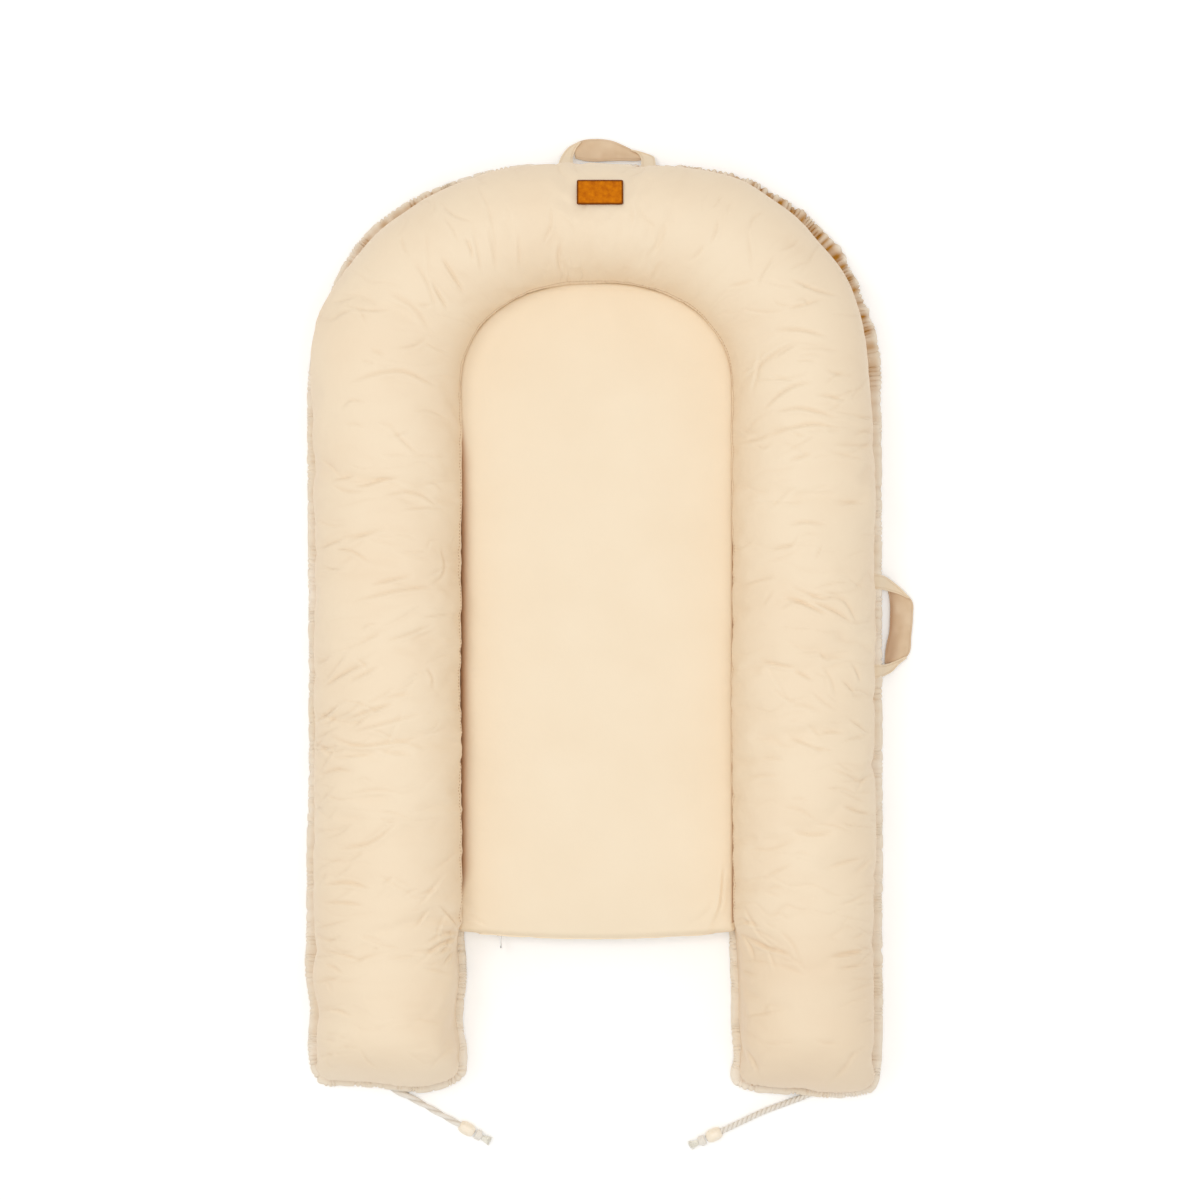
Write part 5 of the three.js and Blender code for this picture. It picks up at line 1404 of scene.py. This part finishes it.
outline = base_outline()
count = len(outline)
points = np.vstack([np.column_stack([outline, np.full(count, z)]) for z in (0.35, 1.3)])
here = np.arange(count)
after = (here + 1) % count
faces = [here[None, :], (here + count)[None, ::-1], np.stack([here, here + count, after + count, after], 1)]
uvs = [points[face.ravel()][:, :2].reshape(*face.shape, 2) for face in faces]
base = put_mesh("base_cloth", points, faces, uvs, BASE_COTTON)
base.data.shade_flat()
seat(base, "root", "base_cotton", "base_panel")

# %% [markdown]
# ## Stitches
#
# A seam is seen by its thread. One small shape, a rounded grain with six sides, is repeated along a line at the
# stitch length of a home machine, about 3 mm, and all of a line's stitches make one piece.


# %% Sewing thread, and the same thread sunk in a seam, where it is seen in shade
def sewing_thread(name, hex_colour, roughness):
    """Two twisted plies of polyester: stripes that slant across the thread."""
    material, tree, shader = new_finish(name, {"Base Color": linear(hex_colour), "Roughness": roughness})
    place = add(tree, "UVMap", uv_map="cloth").outputs[0]
    twist = add(tree, "TexWave", {"Vector": place, "Scale": 0.9, "Distortion": 1.0}, bands_direction="DIAGONAL")
    relief = add(tree, "Bump", {"Height": twist.outputs["Fac"], "Strength": 0.4, "Distance": 0.0001})
    tree.links.new(relief.outputs[0], shader.inputs["Normal"])
    return material


THREAD = sewing_thread("polyester_thread", "#D9C19C", 0.5)
SHADED_THREAD = sewing_thread("shaded_thread", "#AE8458", 0.7)


# %% Lines of stitches
def put_stitches(name, line, pitch, length, radius, body, finish, normal=(0, 0, 1.0), material=THREAD):
    """Stitches one pitch apart along a line, each a grain of that length whose radius is R sqrt(1 - t^2), for t from
    -1 to 1."""
    line = even_line(line, pitch)
    ahead = directions(line)
    side = unit(np.cross(ahead, normal))
    t = np.array([-0.98, -0.7, 0.0, 0.7, 0.98])[:, None, None]
    ring = turned(side[:, None], np.cross(side, ahead)[:, None], ring_angles(6))
    grids = line[:, None, None] + t * length / 2 * ahead[:, None, None] + radius * np.sqrt(1 - t**2) * ring[:, None]
    return seat(put_copies(name, grids, material, both_ends=True), body, finish)


# %% Seams across the two feet
for name, row in (("right", 0), ("left", -1)):
    edge = cover[row, 14:-16] + np.array([0, 0.2, 0.5])
    put_stitches(f"foot_seam_{name}", edge, 3.1, 2.0, 0.36, "root", "cream_sateen", material=SHADED_THREAD)

# %% Seam round the base panel, on its underside
inside = base_outline()
inwards = unit(inside.mean(0) - inside)
edge = np.column_stack([inside + 5 * inwards, np.full(len(inside), 0.36)])
put_stitches("base_seam", edge, 3.6, 2.4, 0.28, "root", "base_cotton")

# %% Seam of the pad, seen just above the join
sewn = np.flatnonzero((rows["free"] == 0) & (rows["base"][:, 1] > PAD_CORNER_Y + 6))
seam_column = int(np.argmin(np.abs(plain_cover[len(rows["free"]) // 2, :60, 2] - 66)))
put_stitches("pad_seam", cover[sewn, seam_column], 3.0, 1.9, 0.38, "root", "cream_sateen", material=SHADED_THREAD)

# %% [markdown]
# ## The zip
#
# A nylon coil zip closes the pad's cover across the foot. Each coil is one thin wire wound in flat loops, sewn to
# a woven tape; the two face each other over a gap of a millimetre, as behind the slider. The slider and its pull are
# nickel-plated zinc castings. They keep the model's shape, with their edges rounded.

# %% Tapes and coils
ZIP_Z = 18.7
ZIP_HALF = 116.5
STITCH_Y = PAD_CORNER_Y - 0.85
TAPE = woven(
    "zip_tape_twill", "#ECDFC8", "#E4D5BC", "#C6A882",
    thread=0.5, depth=0.0001, roughness=0.8, sheen=0.1, uneven=0.0001)
NYLON, tree, shader = new_finish(
    "wound_nylon", {"Base Color": linear("#DFD0B6"), "Roughness": 0.4, "Subsurface Weight": 0.1})
place = add(tree, "UVMap", uv_map="cloth").outputs[0]
drawn = add(tree, "TexNoise", {"Vector": place, "Scale": 0.8, "Detail": 2.0})
relief = add(tree, "Bump", {"Height": drawn.outputs["Fac"], "Strength": 0.2, "Distance": 0.0001})
tree.links.new(relief.outputs[0], shader.inputs["Normal"])


def strip_grid(half, steps, low, high, rows_each, front, back, wave):
    """An upright strip across the foot, as a flat ring carried along X: front up, back down. wave holds the height of
    its waviness, how long it is along X and Z, and its seed."""
    tall, along, up, seed = wave
    x = np.linspace(-half, half, steps)[:, None]
    z = np.concatenate([np.linspace(low, high, rows_each), np.linspace(high, low, rows_each)])[None]
    y = np.repeat([PAD_CORNER_Y - front, PAD_CORNER_Y - back], rows_each)[None]
    return np.stack(np.broadcast_arrays(x, y + tall * noise(x / along, z / up, seed), z), 2)


def coil_grid(side):
    """A wire of 0.32 mm radius wound in flat loops 1.4 mm apart: y = 0.68 cos a, z = 0.92 sin a, x = 1.4 a / 2 pi."""
    first_x, last_x, pitch = -100, 104, 1.4
    turns = (last_x - first_x) / pitch
    turn = np.linspace(0, 2 * np.pi * turns, int(turns * 14))
    x = first_x + pitch * turn / (2 * np.pi)
    y = PAD_CORNER_Y - 2.15 + 0.68 * np.cos(turn)
    z = ZIP_Z + side * (1.75 - 0.92 * np.sin(turn))
    line = np.stack([x, y, z], 1)
    ahead = directions(line)
    first = unit(np.cross(ahead, [1.0, 0.0, 0.0]))
    return ring_grid(line, first, np.cross(ahead, first), 0.32, 6)


for part, side, low, high in (("upper", 1, ZIP_Z + 1.9, 29.4), ("lower", -1, 8.2, ZIP_Z - 1.9)):
    tape_grid = strip_grid(ZIP_HALF, 120, low, high, 8, 0.75, 0.1, (0.12, 14, 9, 70))
    seat(put_tube(f"tape_{part}", tape_grid, TAPE), "root", "zip_tape", f"zip_tape_{part}")
    seat(put_tube(f"coil_{part}", coil_grid(side), NYLON), "root", "zip_nylon", f"zip_coil_{part}")
    for row, z in enumerate((lerp(low, high, 0.3), lerp(low, high, 0.8))):
        line = np.array([[-ZIP_HALF + 1, STITCH_Y, z], [ZIP_HALF - 1, STITCH_Y, z]])
        put_stitches(f"tape_seam_{part}_{row}", line, 2.6, 1.9, 0.22, "root", "zip_tape", normal=(0, -1.0, 0))

# %% The band of base cloth below the zip
band_grid = strip_grid(ZIP_HALF + 2, 130, 0.3, 8.6, 7, 1.0, 0.05, (0.15, 12, 5, 71))
seat(put_tube("zip_band", band_grid, BASE_COTTON), "root", "base_cotton")

# %% Nickel-plated zinc: bright, slightly rough, with hairline wear
NICKEL, tree, shader = new_finish("nickel_plated_zinc", {"Base Color": linear("#A3A19C"), "Metallic": 1.0})
place = add(tree, "TexCoord").outputs["Object"]
wear_place = add(tree, "Mapping", {"Vector": place, "Scale": (300, 300, 2500)})
wear = add(tree, "TexNoise", {"Vector": wear_place.outputs[0], "Scale": 1.0, "Detail": 3.0})
shine = add(tree, "MapRange", {"Value": wear.outputs["Fac"], 3: 0.22, 4: 0.42})
tree.links.new(shine.outputs[0], shader.inputs["Roughness"])


def round_copy(node, name, body, width):
    """A copy of a metal node with merged corners and edges rounded by a bevel of that width (mm)."""
    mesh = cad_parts[node].data.copy()
    piece = bpy.data.objects.new(name, mesh)
    bpy.context.scene.collection.objects.link(piece)
    mesh.materials.clear()
    mesh.materials.append(NICKEL)
    weld = piece.modifiers.new("weld", "WELD")
    weld.merge_threshold = 0.00002
    bevel = piece.modifiers.new("bevel", "BEVEL")
    bevel.width = width * MM
    bevel.segments = 3
    bevel.limit_method = "ANGLE"
    bevel.angle_limit = np.radians(35)
    return seat(piece, body, "zip_metal", node)


round_copy("zip_slider", "slider_casting", "slider", 0.22)
round_copy("zip_pull", "pull_casting", "pull", 0.22)
for stop in ("zip_top_stop_upper", "zip_top_stop_lower", "zip_bottom_stop"):
    round_copy(stop, stop.replace("zip", "metal"), "root", 0.15)

# %% [markdown]
# ## Strap handles
#
# Each handle is one flat cotton strap, 15 to 20 mm wide, with its ends folded over and sewn over the casing. The
# folds turn the middle's inner face up, which is browner in its shade. Each of the three parts is a thin solid
# between two edge lines taken from the photograph. The hinge is at the brim, and the middle is put on its handle's
# body.

# %% Handle cloth
STRAP = woven(
    "folded_strap_cotton", "#F2E3CB", "#E9D6BA", "#C29A6C",
    thread=0.6, depth=0.0001, roughness=0.8, sheen=0.2, uneven=0.0005)
# The same strap cotton darker and browner, as painted shade on the folded middles' inner faces.
STRAP_SHADED = woven(
    "strap_cotton_painted_shade", "#E4CDB0", "#D6BA99", "#A87A58",
    thread=0.6, depth=0.0001, roughness=0.85, sheen=0.15, uneven=0.0008, cloud=0.05)


def strap_grid(first_edge, second_edge, thickness, seed, belly, edge_shade):
    """A thin solid between two edge lines: top = lerp(first, second, b) + belly sin(pi b) + small waves.

    Its thickness is T (1 - |2 b - 1|^10)^(1/2), so both edges are round, and a groove 1.8 mm from each is the seam.
    The second result is painted shade, in the seam grooves and, by the share given for it, towards the second edge.
    """
    first, second = (smooth_route(from_photo(edge), 1.0) for edge in (first_edge, second_edge))
    count = 46
    share = np.linspace(0, 1, count)
    lines = []
    for line in (first, second):
        length = run_lengths(line)
        lines.append(np.stack([np.interp(share * length[-1], length, line[:, k]) for k in range(3)], 1))
    b = (1 - np.cos(np.linspace(0, np.pi, 19))) / 2
    top = lerp(lines[0][:, None], lines[1][:, None], b[None, :, None])
    width = np.linalg.norm(lines[1] - lines[0], axis=1)[:, None]
    from_edge = np.minimum(b, 1 - b)[None] * width
    groove = np.exp(-(((from_edge - 1.8) / 0.5) ** 2))
    wave = 0.35 * noise(share[:, None] * 7, b[None] * 2, seed) - 0.35 * groove
    top[..., 2] += belly * np.sin(np.pi * b) + wave
    patchy = 0.6 + 0.5 * noise(share[:, None] * 4, b[None] * 3, seed + 9)
    # Painted shade in the seam grooves and towards the second edge.
    shade = 0.3 * groove + edge_shade * patchy * ease((b[None] - 0.25) / 0.6)
    bottom = top.copy()
    full = thickness * np.sqrt(np.clip(1 - np.abs(2 * b - 1) ** 10, 0.0, 1))
    middle = top[..., 2] - thickness / 2
    top[..., 2] = middle + full / 2
    bottom[..., 2] = middle - full / 2
    return np.concatenate([top, bottom[:, -2:0:-1]], 1), np.concatenate([shade, shade[:, -2:0:-1]], 1)


# %% Parts of the two handles: edges in pixels, each with its height in mm
HANDLES = {
    "side_upper_arm": (
        [(873, 573.6, 15.8), (880, 574.6, 14.4), (886, 576.6, 9.0), (892, 580.8, 6.9), (901.3, 588.5, 6.6),
         (911.5, 599.5, 6.4)],
        [(873, 588.8, 15.8), (880, 589.4, 14.6), (886, 590.6, 9.6), (892, 592.2, 7.2), (900, 594.8, 6.8),
         (907, 598, 6.4)],
    ),
    "side_lower_arm": (
        [(873, 664.6, 15.8), (880, 664.6, 14.4), (886, 664.2, 9.0), (891, 662.6, 7.0), (898, 659.6, 6.8),
         (906, 656, 6.4)],
        [(873, 678.6, 15.8), (880, 677.8, 14.4), (885, 675.8, 9.0), (892, 672, 7.0), (899, 664.6, 6.6),
         (907, 658.4, 6.4)],
    ),
    "side_middle": (
        [(900, 590.4, 4.6), (907.5, 595, 4.4), (912, 600.5, 4.2), (913, 617, 4.0), (911.4, 634.6, 4.0),
         (908.4, 655, 4.2), (901, 661.5, 4.6)],
        [(886.6, 588, 5.2), (888.6, 594, 5.4), (890, 604, 5.6), (890, 617, 5.8), (889.4, 630, 5.8),
         (885.6, 650, 5.4), (884.6, 664, 5.2)],
    ),
    "head_left_arm": (
        [(557.8, 166.2, 15.8), (559.4, 160.4, 11.5), (562.5, 154, 7.8), (568, 147.4, 6.9),
         (579, 141.2, 6.4)],
        [(573.6, 166.2, 15.8), (572.8, 161.4, 12.5), (573.6, 155.5, 8.2), (576.4, 148.5, 7.0),
         (581.5, 142, 6.4)],
    ),
    "head_right_arm": (
        [(655.6, 167.2, 15.8), (655.4, 161.4, 12.0), (654, 156.6, 7.8), (645, 152.8, 6.9),
         (631, 149.0, 6.4)],
        [(641.4, 167.6, 15.8), (641.2, 162.6, 12.5), (640.6, 158, 8.2), (637.6, 153.4, 7.0),
         (630.4, 150.2, 6.4)],
    ),
    "head_middle": (
        [(573, 146.5, 4.6), (580, 141.2, 4.4), (595, 138.9, 4.2), (611, 140.4, 4.2), (625, 146, 4.2),
         (636, 151.5, 4.4), (644, 155, 4.6)],
        [(575.4, 158.4, 5.4), (584, 160.6, 5.8), (597, 161.4, 5.8), (611, 160.8, 5.8), (625, 160.6, 5.8),
         (636, 160.8, 5.6), (641.6, 160.2, 5.4)],
    ),
}
STRAP_THICKNESS = 1.5

for seed, (name, (first_edge, second_edge)) in enumerate(HANDLES.items()):
    place, middle = name.split("_")[0], name.endswith("middle")
    # The middles take the shaded cloth, and painted shade towards one edge.
    edge_shade = {"side_middle": 0.75, "head_middle": 0.12}.get(name, 0.0)
    belly = 0.5 if middle else 0.3
    grid, shade = strap_grid(first_edge, second_edge, STRAP_THICKNESS, 80 + seed, belly, edge_shade)
    strap = put_tube(name, grid, STRAP_SHADED if middle else STRAP, shade)
    if middle:
        seat(strap, f"{place}_handle", "strap_cotton", f"handle_{place}")
    else:
        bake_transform(strap)

# %% [markdown]
# ## The leather patch
#
# On the head sits a small patch of vegetable-tanned leather. The press that cut it burnished a dark border 2.4 mm
# wide, and its face is bare.


# %% Vegetable-tanned leather: warm tan, mottled, burnt dark at the pressed border
def tanned_leather():
    """Tan with clouds of darker orange. The border's tone follows the distance to the edge, held in the UV map."""
    material, tree, shader = new_finish("vegetable_tanned_leather", {"Roughness": 0.6, "Specular IOR Level": 0.05})
    place = add(tree, "UVMap", uv_map="cloth").outputs[0]
    parts = add(tree, "SeparateXYZ", {0: place})
    cloud = add(tree, "TexNoise", {"Vector": place, "Scale": 0.16, "Detail": 5.0, "Roughness": 0.65})
    tone = add(tree, "ValToRGB", {"Fac": cloud.outputs["Fac"]})
    for element, colour, position in zip(tone.color_ramp.elements, ("#B25A06", "#E0840B"), (0.3, 0.72)):
        element.color = linear(colour)
        element.position = position
    edges = []
    for part, half in ((parts.outputs[0], PATCH_LONG / 2), (parts.outputs[1], PATCH_WIDE / 2)):
        from_middle = add(tree, "Math", {0: part, 1: half}, operation="SUBTRACT")
        far = add(tree, "Math", {0: from_middle.outputs[0]}, operation="ABSOLUTE")
        edges.append(add(tree, "Math", {0: half, 1: far.outputs[0]}, operation="SUBTRACT").outputs[0])
    edge = add(tree, "Math", {0: edges[0], 1: edges[1]}, operation="MINIMUM")
    ragged = add(tree, "Math", {0: cloud.outputs["Fac"], 1: 0.9, 2: edge.outputs[0]}, operation="MULTIPLY_ADD")
    burn = add(tree, "MapRange", {"Value": ragged.outputs[0], 1: 1.3, 2: 2.7, 3: 1.0, 4: 0.0})
    shade = add(
        tree, "Mix", {0: burn.outputs[0], 6: tone.outputs["Color"], 7: linear("#723806")}, data_type="RGBA")
    pores = add(tree, "TexVoronoi", {"Vector": place, "Scale": 1.6})
    relief = add(tree, "Bump", {"Height": pores.outputs["Distance"], "Strength": 0.35, "Distance": 0.00015})
    tree.links.new(shade.outputs[2], shader.inputs["Base Color"])
    tree.links.new(relief.outputs[0], shader.inputs["Normal"])
    return material


# %% The patch on the head's curve
def head_height(x, y):
    """Height of the arch's cover above a plan place: 62.1 + 57.9 (1 - |q|^2.1)^(1/2.1), q the share from its middle."""
    middle, half = arch_section(np.arctan2(y - ARCH_Y, x))
    share = (np.hypot(x, y - ARCH_Y) - middle) / half
    return 62.1 + (TOP_Z - 62.1) * (1 - np.abs(share) ** 2.1) ** (1 / 2.1)


PATCH_TOP, PATCH_BOTTOM = 1.4, 0.15
PATCH_CORNER = 1.6


def patch_points(lift):
    """A rectangle laid on the head with its corners rounded: its points in space, and their x and y on it."""
    u, v = np.meshgrid(np.linspace(-1, 1, 61), np.linspace(-1, 1, 37), indexing="ij")
    y = v * PATCH_WIDE / 2
    x = u * (PATCH_LONG / 2 - corner_inset(PATCH_WIDE / 2 - np.abs(y), PATCH_CORNER))
    place_x, place_y = PATCH_X + x, PATCH_Y + y
    return np.stack([place_x, place_y, head_height(place_x, place_y) + lift], 2), x, y


def put_patch():
    """The top face with its rolled edge and its pressed line, the underside, and a wall between their rims."""
    top, x, y = patch_points(PATCH_TOP)
    edge = np.minimum(PATCH_LONG / 2 - np.abs(x), PATCH_WIDE / 2 - np.abs(y))
    top[..., 2] -= 0.7 * (1 - np.clip(edge / 0.9, 0, 1)) ** 2 + 0.28 * np.exp(-(((edge - 2.6) / 0.5) ** 2))
    bottom, _, _ = patch_points(PATCH_BOTTOM)
    faces, _ = grid_faces(top, False)
    count = top.shape[0] * top.shape[1]
    index = np.arange(count).reshape(top.shape[:2])
    rim = np.concatenate([index[:-1, 0], index[-1, :-1], index[:0:-1, -1], index[0, :0:-1]])
    after = np.roll(rim, -1)
    wall = np.stack([rim, after, after + count, rim + count], 1)
    points = np.vstack([top.reshape(-1, 3), bottom.reshape(-1, 3)])
    flat = np.column_stack([x.ravel() + PATCH_LONG / 2, y.ravel() + PATCH_WIDE / 2])
    flat = np.vstack([flat, flat])
    all_faces = [faces, faces[:, ::-1] + count, wall[:, ::-1]]
    a, b, c = (points[faces[0, k]] for k in range(3))
    if np.cross(b - a, c - a)[2] < 0:
        all_faces = [face[:, ::-1] for face in all_faces]
    return put_mesh("tan_patch", points, all_faces, [flat[face] for face in all_faces], tanned_leather())


seat(put_patch(), "root", "tan_leather", "leather_patch")
